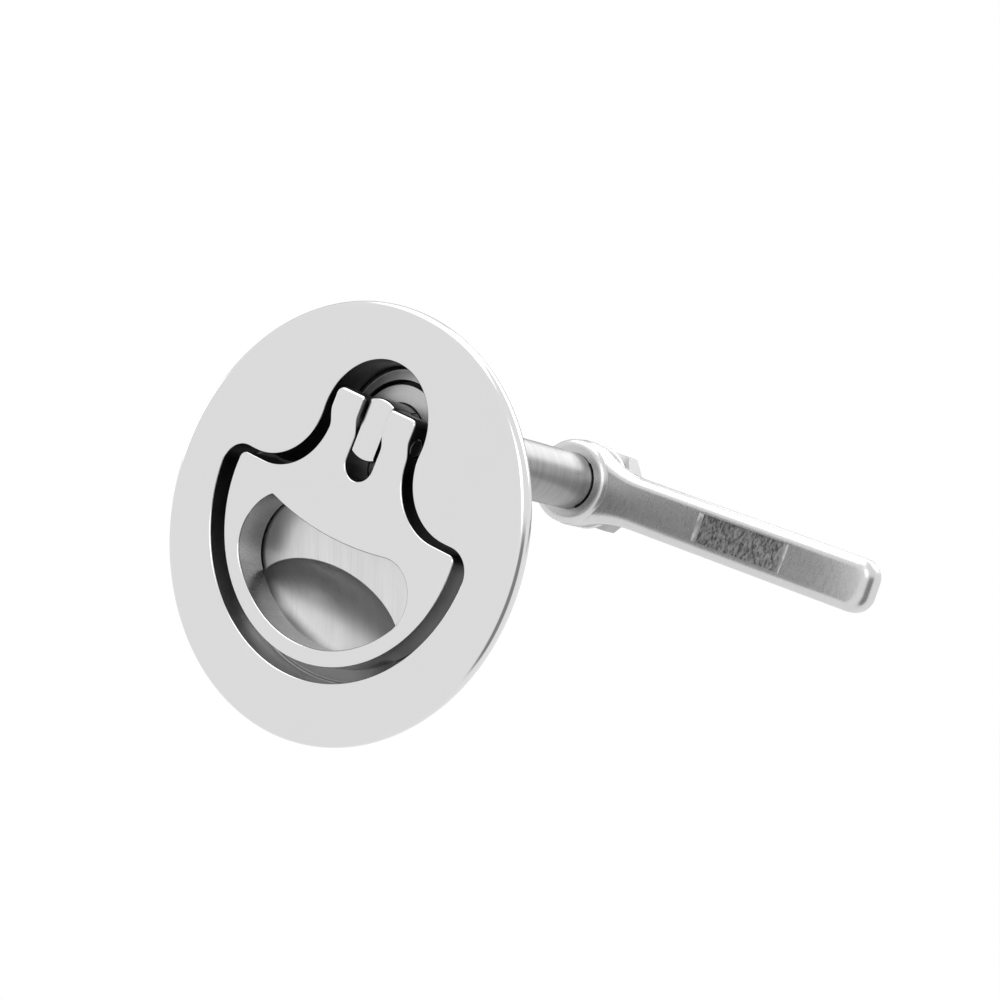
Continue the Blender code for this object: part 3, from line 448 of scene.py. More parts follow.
def turned(profile, centre, closed=False, sides=ROUND_SIDES):
    """A turned solid: a profile of (radius, y) points about an axis along Y."""
    mesh = bmesh.new()
    rings = [ring_of(mesh, circle(radius, (centre.x, centre.z), sides), centre.y + y)
             for radius, y in profile if radius > 0]
    skin(mesh, rings)
    if closed:
        skin(mesh, [rings[-1], rings[0]])
        return mesh
    for (_, y), ring in ((profile[0], rings[0]), (profile[-1], rings[-1])):
        if abs(centre.y + y - ring[0].co.y) < SAME_PLACE:
            mesh.faces.new(ring)
        else:
            cone(mesh, ring, (centre.x, centre.y + y, centre.z))
    return mesh


def placed(name, mesh, *materials):
    """Makes an object of a mesh that was built in the row's frame."""
    bmesh.ops.recalc_face_normals(mesh, faces=mesh.faces)
    data = bpy.data.meshes.new(name)
    mesh.to_mesh(data)
    mesh.free()
    piece = bpy.data.objects.new(name, data)
    for material in materials:
        data.materials.append(material)
    scene.collection.objects.link(piece)
    return piece


def settle(piece):
    """Gives a piece the mesh that its modifiers make, and takes the modifiers off."""
    graph = bpy.context.evaluated_depsgraph_get()
    made = bpy.data.meshes.new_from_object(piece.evaluated_get(graph), preserve_all_data_layers=True,
                                           depsgraph=graph)
    piece.modifiers.clear()
    piece.data = made


def machine(piece, mesh, operation):
    """Cuts a mesh from a piece, joins one to it, or keeps what they share."""
    tool = placed("tool", mesh)
    step = piece.modifiers.new("step", "BOOLEAN")
    step.operation = operation
    step.solver = "EXACT"
    step.object = tool
    settle(piece)
    bpy.data.objects.remove(tool, do_unlink=True)


def shade(piece):
    """Smooth shading that keeps flat faces flat and sharp edges sharp."""
    piece.data.shade_smooth()
    piece.data.set_sharp_from_angle(angle=SHARP_ANGLE)
    weights = piece.modifiers.new("weights", "WEIGHTED_NORMAL")
    weights.keep_sharp = True
    weights.weight = FLAT_FACE_WEIGHT
    settle(piece)


def quarter(steps=EDGE_STEPS):
    """Pairs (sine, one less cosine) through a quarter turn."""
    return [(math.sin(math.pi / 2 * step / steps), 1 - math.cos(math.pi / 2 * step / steps))
            for step in range(steps + 1)]


def flange_form():
    """The disc, with its front edge well rounded and its rim drawn in a little towards the rear."""
    profile = rounded([(0, FRONT_Y, 0), (FLANGE_RADIUS, FRONT_Y, FLANGE_EDGE_ROUND),
                       (FLANGE_RADIUS, -RIM_CROWN_DEPTH, 0)])
    crown_radius = (RIM_CROWN_DEPTH ** 2 + RIM_CROWN ** 2) / (2 * RIM_CROWN)
    crown_turn = math.asin(RIM_CROWN_DEPTH / crown_radius)
    for step in range(1, EDGE_STEPS + 1):
        turn = crown_turn * step / EDGE_STEPS
        profile.append((FLANGE_RADIUS - crown_radius * (1 - math.cos(turn)),
                        crown_radius * math.sin(turn) - RIM_CROWN_DEPTH))
    return turned(profile + [(0, 0)], ORIGIN, sides=FLANGE_SIDES)


def pan_form():
    """The pan behind the flange, with a fillet where it leaves the flange."""
    outline = offset(recess_outline(), PAN_WALL)
    levels = [(ROOT_FILLET, FRONT_Y / 2), (ROOT_FILLET, -REAR_EDGE_BREAK)]
    levels += [(ROOT_FILLET * (1 - sine), ROOT_FILLET * rise - ROOT_SUNK) for sine, rise in quarter()]
    levels += [(-PAN_REAR_ROUND * rise, PAN_REAR_Y - PAN_REAR_ROUND * (1 - sine))
               for sine, rise in quarter()]
    mesh = bmesh.new()
    rings = [ring_of(mesh, offset(outline, grow), y) for grow, y in levels]
    skin(mesh, rings)
    cap(mesh, rings[0])
    cap(mesh, rings[-1])
    return mesh


def bulge_form():
    """The back of the finger well, a shallow dome that grows out of the pan."""
    half_width = WELL_HALF_WIDTH + WELL_WALL
    half_height = WELL_HALF_HEIGHT + WELL_WALL
    depth = WELL_DEPTH + WELL_WALL
    mesh = bmesh.new()
    rings = [ring_of(mesh, ellipse(half_width, half_height), PAN_WALL)]
    for row in range(WELL_ROWS):
        turn = math.pi / 2 * row / WELL_ROWS
        y = FLOOR_Y + depth * math.sin(turn)
        flare = BULGE_FLARE * max(0, 1 - abs(y - PAN_REAR_Y) / BULGE_FLARE / 2) ** 2
        rings.append(ring_of(mesh, ellipse(half_width * math.cos(turn) + flare,
                                           half_height * math.cos(turn) + flare), y))
    skin(mesh, rings)
    cap(mesh, rings[0])
    cone(mesh, rings[-1], (0, FLOOR_Y + depth, WELL_Z))
    return mesh


def barrel_form():
    """The barrel, with its root fillet and broken end."""
    root_radius = BARREL_RADIUS + BARREL_ROOT_FILLET
    root_y = PAN_REAR_Y - ROOT_SUNK
    corners = [(0, FLOOR_Y, 0), (root_radius, FLOOR_Y, 0), (root_radius, root_y, 0),
               (BARREL_RADIUS, root_y, BARREL_ROOT_FILLET * ROOT_SHARE),
               (BARREL_RADIUS, BARREL_END_Y, BARREL_END_ROUND), (0, BARREL_END_Y, 0)]
    return turned(rounded(corners), SPINDLE_AXIS)


def post_form(place):
    """A post for a screw, with its blind hole."""
    root_radius = POST_RADIUS + ROOT_FILLET
    corners = [(0, FRONT_Y / 2, 0), (root_radius, FRONT_Y / 2, 0), (root_radius, -ROOT_SUNK, 0),
               (POST_RADIUS, -ROOT_SUNK, ROOT_FILLET * ROOT_SHARE),
               (POST_RADIUS, POST_HEIGHT, POST_END_ROUND), (POST_BORE_RADIUS, POST_HEIGHT, POST_BORE_EDGE),
               (POST_BORE_RADIUS, POST_BORE_BOTTOM + POST_DRILL_POINT, 0), (0, POST_BORE_BOTTOM, 0)]
    return turned(rounded(corners), Vector((place[0], 0, place[1])), sides=POST_SIDES)


def recess_form():
    """All that is hollow: the mouth, the recess, the finger well and the bore of the barrel."""
    mouth = recess_outline()
    levels = [(MOUTH_ROUND, 2 * FRONT_Y)]
    levels += [(MOUTH_ROUND * (1 - sine), FRONT_Y + MOUTH_ROUND * rise) for sine, rise in quarter()]
    levels += [(-FLOOR_FILLET * rise, FLOOR_Y - FLOOR_FILLET * (1 - sine)) for sine, rise in quarter()]
    mesh = bmesh.new()
    walls = [ring_of(mesh, offset(mouth, grow), y) for grow, y in levels]
    skin(mesh, walls)
    cap(mesh, walls[0])
    well = []
    for sine, rise in quarter(WELL_LIP_STEPS):
        well.append(ring_of(mesh, ellipse(WELL_HALF_WIDTH + WELL_LIP * (1 - sine),
                                          WELL_HALF_HEIGHT + WELL_LIP * (1 - sine)),
                            FLOOR_Y + WELL_LIP * rise))
    lowest = math.asin((WELL_LIP / WELL_DEPTH) ** (1 / WELL_SLACK))
    for row in range(1, WELL_ROWS):
        turn = lowest + (math.pi / 2 - lowest) * row / WELL_ROWS
        outline = ellipse(WELL_HALF_WIDTH * math.cos(turn), WELL_HALF_HEIGHT * math.cos(turn))
        well.append(ring_of(mesh, outline, FLOOR_Y + WELL_DEPTH * math.sin(turn) ** WELL_SLACK))
    skin(mesh, well)
    cone(mesh, well[-1], (0, FLOOR_Y + WELL_DEPTH, WELL_Z))
    counterbore = BUSH_FLANGE_RADIUS + BUSH_FLANGE_GAP
    steps = [(counterbore + COUNTERBORE_EDGE, FLOOR_Y), (counterbore, FLOOR_Y + COUNTERBORE_EDGE),
             (counterbore, BUSH_FLANGE_END_Y + FIT), (SLEEVE_RADIUS + FIT, BUSH_FLANGE_END_Y + FIT),
             (SLEEVE_RADIUS + FIT, SLEEVE_END_Y + FIT), (SPINDLE_BORE_RADIUS, SLEEVE_END_Y + FIT),
             (SPINDLE_BORE_RADIUS, BARREL_END_Y + FLOOR_Y)]
    bore = [ring_of(mesh, circle(radius), y) for radius, y in steps]
    skin(mesh, bore)
    cap(mesh, bore[-1])
    cap(mesh, walls[-1], well[0], bore[0])
    return mesh


def finished(name, finish, metallic=1.0):
    """A material. finish gets its nodes and the place on the piece, and gives the shader's sockets."""
    material = bpy.data.materials.new(name)
    nodes = Nodes(material)
    sockets = {"Metallic": metallic}
    sockets.update(finish(nodes, nodes.add("ShaderNodeTexCoord", out="Object")))
    shader = nodes.add("ShaderNodeBsdfPrincipled", None, sockets)
    nodes.add("ShaderNodeOutputMaterial", None, {"Surface": shader})
    return material


def noise(nodes, place, scale, detail, rough=0.5):
    """Noise about 0.5, with so many lumps to the metre as its scale says."""
    return nodes.add("ShaderNodeTexNoise", None,
                     {"Vector": place, "Scale": scale, "Detail": detail, "Roughness": rough}, out=0)


def streaks(nodes, place, scale, detail, rough=0.5, turn=(0, 0, 0)):
    """Noise with a scale of its own along each axis, drawn out where the scale is small."""
    if any(turn):
        place = nodes.add("ShaderNodeVectorRotate", {"rotation_type": "EULER_XYZ"},
                          {"Vector": place, "Rotation": turn})
    drawn = nodes.add("ShaderNodeVectorMath", {"operation": "MULTIPLY"}, {0: place, 1: scale})
    return noise(nodes, drawn, 1, detail, rough)


def from_axis(nodes, place, centre_z):
    """How far a place is from an axis along Y at a height."""
    centred = nodes.add("ShaderNodeVectorMath", {"operation": "ADD"}, {0: place, 1: (0, 0, -centre_z)})
    flat = nodes.add("ShaderNodeVectorMath", {"operation": "MULTIPLY"}, {0: centred, 1: (1, 0, 1)})
    return nodes.add("ShaderNodeVectorMath", {"operation": "LENGTH"}, {0: flat}, out="Value")


def grey_of(nodes, value):
    """A grey colour from a value."""
    return nodes.add("ShaderNodeCombineColor", None, {"Red": value, "Green": value, "Blue": value})


def bumped(nodes, height, distance):
    """A normal that follows a height, for a distance in metres at height 1."""
    return nodes.add("ShaderNodeBump", None, {"Height": height, "Distance": distance, "Strength": 1.0})


def polished_face(nodes, place):
    """A buffed face: hardly any grain, a faint haze and a few fine hairlines."""
    haze = noise(nodes, place, 60, 2)
    lines = streaks(nodes, place, (2600, 300, 130), 2, turn=(0, 0.5, 0))
    return {"Base Color": grey_of(nodes, 0.715 + haze * 0.02),
            "Roughness": 0.10 + haze * 0.05 + lines * 0.03,
            "Normal": bumped(nodes, lines, 0.0000006)}


# Where painted light lies on the recess wall: low down, and in the corner at the right.
WALL_LIT_HEIGHT = (-0.027, 0.003)
LIT_CORNER_RIGHT = (0.015, 0.023)
LIT_CORNER_HEIGHT = (0.0005, 0.0045)


def recess_wall(nodes, place):
    """The wall of the recess in painted shade: a dark tone with cloudy patches, with painted light low down
    and at the right corner."""
    patches = noise(nodes, place, 140, 4, 0.6)
    grain = noise(nodes, place, 2500, 2)
    height = nodes.along(place, (0, 0, 1))
    right = nodes.along(place, (1, 0, 0))
    low = nodes.falling(height, *WALL_LIT_HEIGHT)
    corner = nodes.rising(right, *LIT_CORNER_RIGHT) * nodes.falling(height, *LIT_CORNER_HEIGHT)
    painted_light = nodes.most(low, corner)
    # The dark base tone is painted shade, and the paler parts low down and at the corner are painted light.
    return {"Base Color": grey_of(nodes, 0.12 + patches * 0.14 + painted_light * 0.52),
            "Roughness": 0.24 + patches * 0.16,
            "Normal": bumped(nodes, grain, 0.000004)}


# Where painted shade lies on the floor: out towards the wall, at the left and above the bowl in the neck.
BRUSH_TURN = (0, 0.46, 0)
WALL_SHADE_AWAY = (0.0230, 0.0255)
NECK_SHADE_HEIGHT = (0.001, 0.004)
LEFT_SHADE_ACROSS = (-0.0180, -0.0125)
HEAD_HEIGHT = (0.012, 0.015)
RIM_RIGHT = (-0.018, -0.002)


def brushed_shaded_floor(nodes, place):
    """The floor of the recess and the well, brushed by hand in one direction, with painted shade that makes
    it darker out towards the wall, at the left and in the neck."""
    fine = streaks(nodes, place, (1900, 700, 90), 4, 0.65, BRUSH_TURN)
    broad = streaks(nodes, place, (420, 300, 60), 3, turn=BRUSH_TURN)
    height = nodes.along(place, (0, 0, 1))
    across = nodes.along(place, (1, 0, 0))
    below = nodes.falling(height, *NECK_SHADE_HEIGHT)
    middle = nodes.falling(from_axis(nodes, place, BOWL_Z), *WALL_SHADE_AWAY) * below
    middle = middle * nodes.between(across, *LEFT_SHADE_ACROSS, 0.40, 1.0)
    head = nodes.between(height, *HEAD_HEIGHT, 0.0, 0.55)
    rim = nodes.between(across, *RIM_RIGHT, 0.0, 0.30) * below
    # The floor keeps its bright tone where unshaded is 1, and is painted shade where it falls to 0.
    unshaded = nodes.most(middle + head, rim)
    return {"Base Color": grey_of(nodes, 0.10 + unshaded * (0.44 + fine * 0.17 + broad * 0.18)),
            "Roughness": 0.26 + fine * 0.12,
            "Normal": bumped(nodes, fine, 0.000008)}


def gap_painted_shade(nodes, place):
    """The narrow gap round the bush and the fillet of the head behind the ears, near black with painted
    shade.
    """
    film = noise(nodes, place, 600, 3)
    return {"Base Color": grey_of(nodes, 0.02 + film * 0.03), "Roughness": 0.35 + film * 0.2}


def cast_skin(nodes, place):
    """The back of the casting: blasted, matt and a little uneven."""
    grain = noise(nodes, place, 2200, 3, 0.6)
    cloud = noise(nodes, place, 120, 3)
    return {"Base Color": grey_of(nodes, 0.40 + cloud * 0.14 + grain * 0.06),
            "Roughness": 0.40 + grain * 0.12,
            "Normal": bumped(nodes, grain, 0.00002)}


polished = finished("polished_steel", polished_face)
shaded_wall = finished("recess_wall_painted_shade", recess_wall)
brushed_shaded = finished("brushed_recess_painted_shade", brushed_shaded_floor)
cast = finished("cast_back_steel", cast_skin)
gap_shade = finished("bush_gap_painted_shade", gap_painted_shade)

POLISHED_SLOT, WALL_SLOT, BRUSHED_SHADED_SLOT, CAST_SLOT, GAP_SHADE_SLOT = range(5)
housing = placed("latch_housing", flange_form(), polished, shaded_wall, brushed_shaded, cast, gap_shade)
machine(housing, pan_form(), "UNION")
machine(housing, bulge_form(), "UNION")
machine(housing, barrel_form(), "UNION")
for post_place in POST_PLACES:
    machine(housing, post_form(post_place), "UNION")
machine(housing, recess_form(), "DIFFERENCE")


def inside(point, outline):
    """Whether a point lies within an outline."""
    within = False
    for (x1, z1), (x2, z2) in zip(outline, outline[1:] + outline[:1]):
        if (z1 > point.z) != (z2 > point.z) and point.x < (x2 - x1) * (point.z - z1) / (z2 - z1) + x1:
            within = not within
    return within


REARWARD = 0.3
hollow = offset(recess_outline(), PAN_WALL / 2)


def housing_slot(middle, normal):
    """The material of a face of the housing, by where the face is and which way it looks."""
    if inside(middle, hollow) and normal.y < REARWARD:
        # The bore, the counterbore round the bush and the fillet behind the ears get painted shade.
        gap_radius = SLEEVE_RADIUS + FIT * 2
        if middle.y < BUSH_FLANGE_END_Y + FIT * 2:
            gap_radius = BUSH_FLANGE_RADIUS + BUSH_FLANGE_GAP + FINE_EDGE
        if middle.y > FLOOR_Y + FINE_EDGE and math.hypot(middle.x, middle.z - SPINDLE_Z) < gap_radius:
            return GAP_SHADE_SLOT
        if FLOOR_Y - FLOOR_FILLET < middle.y < FLOOR_Y - SAME_PLACE and middle.z > EAR_FLOOR_Z:
            return GAP_SHADE_SLOT
        if middle.y > FLOOR_Y - FLOOR_FILLET / 4:
            return BRUSHED_SHADED_SLOT
        if middle.y > FRONT_Y + MOUTH_ROUND:
            return WALL_SLOT
    return CAST_SLOT if middle.y > -REAR_EDGE_BREAK * 2 else POLISHED_SLOT


for face in housing.data.polygons:
    face.material_index = housing_slot(face.center, face.normal)
shade(housing)
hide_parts("housing")
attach(housing, "housing")


# Flanged bush: turned steel, pressed into the front of the barrel. Its flange is the disc that shows
# behind the ears, with painted shade in the ring of clearance round it.
LATHE_RINGS_PER_METRE = 5200


def lathe_marks(nodes, place):
    """Fine rings left by the turning tool on a face across the spindle's axis."""
    rings = nodes.add("ShaderNodeTexNoise", {"noise_dimensions": "1D"},
                      {"W": from_axis(nodes, place, SPINDLE_Z) * LATHE_RINGS_PER_METRE,
                       "Scale": 1.0, "Detail": 2.0})
    return {"Base Color": grey_of(nodes, 0.46 + rings * 0.16),
            "Roughness": 0.24 + rings * 0.12,
            "Normal": bumped(nodes, rings, 0.000006)}


bush_steel = finished("bush_steel", lathe_marks)
BUSH_BORE_RADIUS = SPINDLE_BORE_RADIUS - 0.00018
BUSH_FACE_EDGE = 0.00025
BUSH_EDGE = 0.0002
bush_corners = [(BUSH_BORE_RADIUS, FLOOR_Y, BUSH_EDGE), (BUSH_FLANGE_RADIUS, FLOOR_Y, BUSH_FACE_EDGE),
                (BUSH_FLANGE_RADIUS, BUSH_FLANGE_END_Y, FINE_EDGE),
                (SLEEVE_RADIUS, BUSH_FLANGE_END_Y, FINE_EDGE), (SLEEVE_RADIUS, SLEEVE_END_Y, BUSH_EDGE),
                (BUSH_BORE_RADIUS, SLEEVE_END_Y, FINE_EDGE)]
bush_mesh = turned(rounded(bush_corners, closed=True), SPINDLE_AXIS, closed=True)
bush = placed("flanged_bush", bush_mesh, bush_steel)
shade(bush)
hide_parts("spindle_bush")
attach(bush, "housing")


# Pull handle: a flat bell of polished steel with a finger hole. Its two ears step forward and straddle
# the tongue of the spindle, where the pin holds them, and their backs are round so that they can turn.
BOWL_GAP = 0.0031
HANDLE_BOWL_Z = BOWL_Z - 0.0005
SHOULDER_GAP = 0.0011
NECK_HALF_WIDTH = 0.0090
HANDLE_FRONT_Y = -0.0027
HANDLE_BACK_Y = 0.0038
PIN_Y = HANDLE_BACK_Y - 0.0048
HANDLE_EDGE_ROUND = 0.0004
HANDLE_CORNER_RADIUS = 0.0014
HANDLE_RIM = 0.0029
HOLE_TOP_Z = -0.0029
HOLE_RIGHT = {"corner_radius": 0.0066, "top_radius": 0.062}
HOLE_LEFT = {"corner_radius": 0.0007, "top_radius": 0.058, "cut_radius": 0.0091,
             "cut_turn": math.radians(-41.7)}
EAR_RADIUS = 0.0048
EAR_TOP_ROUND = 0.0010
EAR_TOP_Z = SPINDLE_Z + EAR_RADIUS
EAR_RISE = 0.0013
EAR_RAMP_LOW = SPINDLE_Z - 0.0028
EAR_RAMP_HIGH = SPINDLE_Z + 0.0010
EAR_CORNER_RADIUS = 0.0015
SLOT_CORNER_RADIUS = 0.0008
SLOT_HALF_WIDTH = 0.0030
SLOT_BOTTOM_Z = SPINDLE_Z - 0.0092
EAR_LEVELS = 20
SLICE_TOLERANCE = 0.0000005


def handle_outline():
    """The handle from the front, with the slot between its ears open at the top."""
    shoulder_z = SHOULDER_Z - SHOULDER_GAP
    flank_centre = (NECK_HALF_WIDTH + FLANK_RADIUS, shoulder_z + FLANK_RADIUS)
    ear_centre = (NECK_HALF_WIDTH - EAR_CORNER_RADIUS, EAR_TOP_Z - EAR_CORNER_RADIUS)
    slot_corner = (SLOT_HALF_WIDTH + SLOT_CORNER_RADIUS, EAR_TOP_Z - SLOT_CORNER_RADIUS)
    half = bowl_and_corner(HANDLE_BOWL_Z, BOWL_RADIUS - BOWL_GAP, HANDLE_CORNER_RADIUS, shoulder_z)
    half += arc(flank_centre, FLANK_RADIUS, -math.pi / 2, -math.pi)
    half += arc(ear_centre, EAR_CORNER_RADIUS, 0, math.pi / 2)
    half += arc(slot_corner, SLOT_CORNER_RADIUS, math.pi / 2, math.pi)
    half += arc((0, SLOT_BOTTOM_Z + SLOT_HALF_WIDTH), SLOT_HALF_WIDTH, 0, -math.pi / 2)
    return without_repeats(mirrored(half))


def meeting(first, first_radius, second, second_radius):
    """Where two circles cross, on the right as seen from the first centre towards the second."""
    between = Vector(second) - Vector(first)
    ahead = (first_radius ** 2 - second_radius ** 2 + between.length ** 2) / (2 * between.length)
    aside = math.sqrt(first_radius ** 2 - ahead ** 2)
    way = between.normalized()
    return Vector(first) + way * ahead + Vector((way.y, -way.x)) * aside


def hole_side(corner_radius, top_radius, cut_radius=0, cut_turn=0):
    """Right side of the finger hole: it follows the bowl of the handle below, or is cut round before its
    corner, and is hollowed above."""
    centre = (0, HANDLE_BOWL_Z)
    radius = BOWL_RADIUS - BOWL_GAP - HANDLE_RIM
    start = -math.pi / 2
    top_centre = (0, HOLE_TOP_Z + top_radius)
    side = []
    if cut_radius:
        side = arc(centre, radius, start, cut_turn)
        centre = ((radius - cut_radius) * math.cos(cut_turn),
                  HANDLE_BOWL_Z + (radius - cut_radius) * math.sin(cut_turn))
        radius = cut_radius
        start = cut_turn
    corner = meeting(centre, radius - corner_radius, top_centre, top_radius + corner_radius)
    low_turn = math.atan2(corner.y - centre[1], corner.x - centre[0])
    high_turn = math.atan2(top_centre[1] - corner.y, -corner.x)
    side += arc(centre, radius, start, low_turn)
    side += arc(corner, corner_radius, low_turn, high_turn)
    return side + arc(top_centre, top_radius, high_turn - math.pi, -math.pi / 2)


def finger_hole_outline():
    """The finger hole. Its right corner is round, its left one is drawn up to a point."""
    left = [(-x, z) for x, z in hole_side(**HOLE_LEFT)]
    return without_repeats(hole_side(**HOLE_RIGHT) + left[-2:0:-1])


def plate(outline, front_y, back_y, front_round, back_round, holes=()):
    """A plate of one outline, with its front and back edges rounded, and holes through it."""
    levels = [(front_round * (1 - sine), front_y + front_round * rise) for sine, rise in quarter()]
    levels += [(back_round * rise, back_y - back_round * (1 - sine)) for sine, rise in quarter()]
    mesh = bmesh.new()
    fronts = []
    backs = []
    for shape, sign in [(outline, -1)] + [(hole, 1) for hole in holes]:
        rings = [ring_of(mesh, offset(shape, sign * inset), y) for inset, y in levels]
        skin(mesh, rings)
        fronts.append(rings[0])
        backs.append(rings[-1])
    cap(mesh, *fronts)
    cap(mesh, *backs)
    return mesh


def sliced(mesh, levels, normal):
    """Adds edges across a mesh where planes pass through it."""
    for level in levels:
        everything = mesh.verts[:] + mesh.edges[:] + mesh.faces[:]
        bmesh.ops.bisect_plane(mesh, geom=everything, plane_co=Vector(normal) * level, plane_no=normal,
                               dist=SLICE_TOLERANCE)


def ramp_rise(z):
    """How far the face of the handle rises at a height, up a smooth ramp to the ears."""
    share = min(max((z - EAR_RAMP_LOW) / (EAR_RAMP_HIGH - EAR_RAMP_LOW), 0), 1)
    return EAR_RISE * share * share * (3 - 2 * share)


NEARLY_ALL = 0.999


def back_fall(z):
    """How far the back of the ears falls away at a height, round the pin."""
    above = min(max(z - SPINDLE_Z, 0), EAR_RADIUS * NEARLY_ALL)
    return EAR_RADIUS - math.sqrt(EAR_RADIUS ** 2 - above ** 2)


def front_fall(z):
    """How far the front of the ears is rounded back at their tops."""
    above = min(max(z - EAR_TOP_Z + EAR_TOP_ROUND, 0), EAR_TOP_ROUND)
    return EAR_TOP_ROUND - math.sqrt(EAR_TOP_ROUND ** 2 - above ** 2)


handle_mesh = plate(handle_outline(), HANDLE_FRONT_Y, HANDLE_BACK_Y, HANDLE_EDGE_ROUND, HANDLE_EDGE_ROUND,
                    holes=[finger_hole_outline()])
ear_levels = [EAR_RAMP_LOW + (EAR_RAMP_HIGH - EAR_RAMP_LOW) * step / EAR_LEVELS
              for step in range(EAR_LEVELS + 1)]
ear_levels += [SPINDLE_Z + EAR_RADIUS * math.sin(math.pi / 2 * step / EAR_LEVELS)
               for step in range(1, EAR_LEVELS)]
sliced(handle_mesh, sorted(ear_levels), (0, 0, 1))
for vert in handle_mesh.verts:
    if vert.co.y < (HANDLE_FRONT_Y + HANDLE_BACK_Y) / 2:
        vert.co.y += front_fall(vert.co.z) - ramp_rise(vert.co.z)
    else:
        vert.co.y -= back_fall(vert.co.z)


HOLE_SHADE_WAY = (0.35, 0, 0.94)
HOLE_SHADE_REACH = (-0.022, -0.004)


def hole_wall_finish(nodes, place):
    """The wall of the finger hole: satin, with painted shade that makes it a little darker low down, and
    marks of the mop along the pull.
    """
    marks = streaks(nodes, place, (900, 160, 500), 3, 0.6)
    reach = nodes.along(place, HOLE_SHADE_WAY)
    # The darkening low down is painted shade.
    return {"Base Color": grey_of(nodes, nodes.between(reach, *HOLE_SHADE_REACH, 0.26, 0.36) + marks * 0.14),
            "Roughness": 0.20 + marks * 0.14,
            "Normal": bumped(nodes, marks, 0.000005)}


hole_wall = finished("finger_hole_steel", hole_wall_finish)
HOLE_WALL_SLOT = 1
# The sides of the handle take the recess wall's painted shade, as they stand in the gap.
HANDLE_SIDE_SHADE_SLOT = 2
handle = placed("pull_handle_plate", handle_mesh, polished, hole_wall, shaded_wall)

PIN_RADIUS = 0.0015
PIN_FIT = 0.00005
PIN_SUNK = 0.0002
PIN_EDGE_ROUND = 0.0002
PIN_SIDES = 48
PIN_AXIS = Vector((0.0, PIN_Y, SPINDLE_Z))
PIN_HALF_LENGTH = NECK_HALF_WIDTH - PIN_SUNK


def cross_pin(radius, half_length, edge):
    """A pin along X on the handle's hinge axis."""
    corners = [(0, -half_length, 0), (radius, -half_length, edge), (radius, half_length, edge),
               (0, half_length, 0)]
    mesh = turned(rounded(corners), ORIGIN, sides=PIN_SIDES)
    bmesh.ops.rotate(mesh, verts=mesh.verts, matrix=Matrix.Rotation(math.pi / 2, 3, "Z"))
    bmesh.ops.translate(mesh, verts=mesh.verts, vec=PIN_AXIS)
    return mesh


machine(handle, cross_pin(PIN_RADIUS + FIT, HEAD_RADIUS, 0), "DIFFERENCE")
near_hole = offset(finger_hole_outline(), HANDLE_EDGE_ROUND)
HOLE_WALL_Y = HANDLE_FRONT_Y + HANDLE_EDGE_ROUND * 0.6
SIDEWAYS = 0.4
for face in handle.data.polygons:
    if inside(face.center, near_hole) and face.center.y > HOLE_WALL_Y:
        face.material_index = HOLE_WALL_SLOT
    # Faces that look sideways get painted shade.
    elif abs(face.normal.y) < SIDEWAYS:
        face.material_index = HANDLE_SIDE_SHADE_SLOT
shade(handle)
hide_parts("pull_handle")
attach(handle, "handle")


# Hinge pin: a turned steel pin pressed through both ears of the handle, which turns in the tongue of the
# spindle. Its ends lie a little below the sides of the ears.
def bright_turned(nodes, place):
    """Turned steel with fine rings round its axis, in lighter and darker bands."""
    rings = streaks(nodes, place, (120, 3800, 120), 3, 0.6)
    bands = streaks(nodes, place, (60, 900, 60), 2)
    return {"Base Color": grey_of(nodes, 0.17 + rings * 0.20 + bands * 0.10),
            "Roughness": 0.24 + rings * 0.16,
            "Normal": bumped(nodes, rings, 0.000012)}


turned_steel = finished("turned_steel", bright_turned)
pin = placed("hinge_pin", cross_pin(PIN_RADIUS, PIN_HALF_LENGTH, PIN_EDGE_ROUND), turned_steel)
shade(pin)
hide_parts("pivot_pin")
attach(pin, "handle")


# Spindle: turned from one steel bar. Its front is milled to a tongue with the polished face that shows
# between the ears, its rear has a seat with two flats for the arm, then a threaded stud.
SPINDLE_RADIUS = 0.0055
SPINDLE_END_ROUND = 0.0006
TONGUE_HALF_WIDTH = 0.00245
SEAT_HALF_FLATS = 0.0042
STUD_RADIUS = 0.0049
ARM_FRONT_Y = 0.0610
ARM_THICKNESS = 0.0058
ARM_REAR_Y = ARM_FRONT_Y + ARM_THICKNESS
HUB_FRONT_Y = ARM_FRONT_Y - 0.0012
SHOULDER_Y = HUB_FRONT_Y - FIT
SEAT_END_Y = ARM_REAR_Y - FIT
ARM_WASHER_Y = ARM_REAR_Y + FIT
STUD_END_Y = 0.0766
SEAL_Y = 0.01575
SEAL_HALF_GROOVE = 0.00095
SEAL_GROOVE_RADIUS = 0.0039
RETAINER_Y = 0.0231
RETAINER_THICKNESS = 0.0010
RETAINER_GROOVE_RADIUS = 0.0047
ARM_TILT = math.radians(4.0)
STUD_CHAMFER = 0.0006
SEAT_END_EDGE = 0.0002
THREAD_START_Y = ARM_WASHER_Y + 0.0005
THREAD_PITCH = 0.0015
THREAD_DEPTH = 0.0007
THREAD_STEP = 0.000125


def tilt(mesh):
    """Turns a mesh made about the origin by the arm's tilt, and sets it on the spindle's axis."""
    bmesh.ops.rotate(mesh, verts=mesh.verts, matrix=Matrix.Rotation(-ARM_TILT, 3, "Y"))
    bmesh.ops.translate(mesh, verts=mesh.verts, vec=SPINDLE_AXIS)


def block(low, high):
    """A box between two corners, for a milling cut."""
    mesh = bmesh.new()
    bmesh.ops.create_cube(mesh, size=1)
    bmesh.ops.scale(mesh, vec=Vector(high) - Vector(low), verts=mesh.verts)
    bmesh.ops.translate(mesh, vec=(Vector(high) + Vector(low)) / 2, verts=mesh.verts)
    return mesh


def groove(bottom_radius, y, end_y):
    """The corners of a groove round the spindle."""
    return [(SPINDLE_RADIUS, y, FINE_EDGE), (bottom_radius, y, FINE_EDGE),
            (bottom_radius, end_y, FINE_EDGE), (SPINDLE_RADIUS, end_y, FINE_EDGE)]


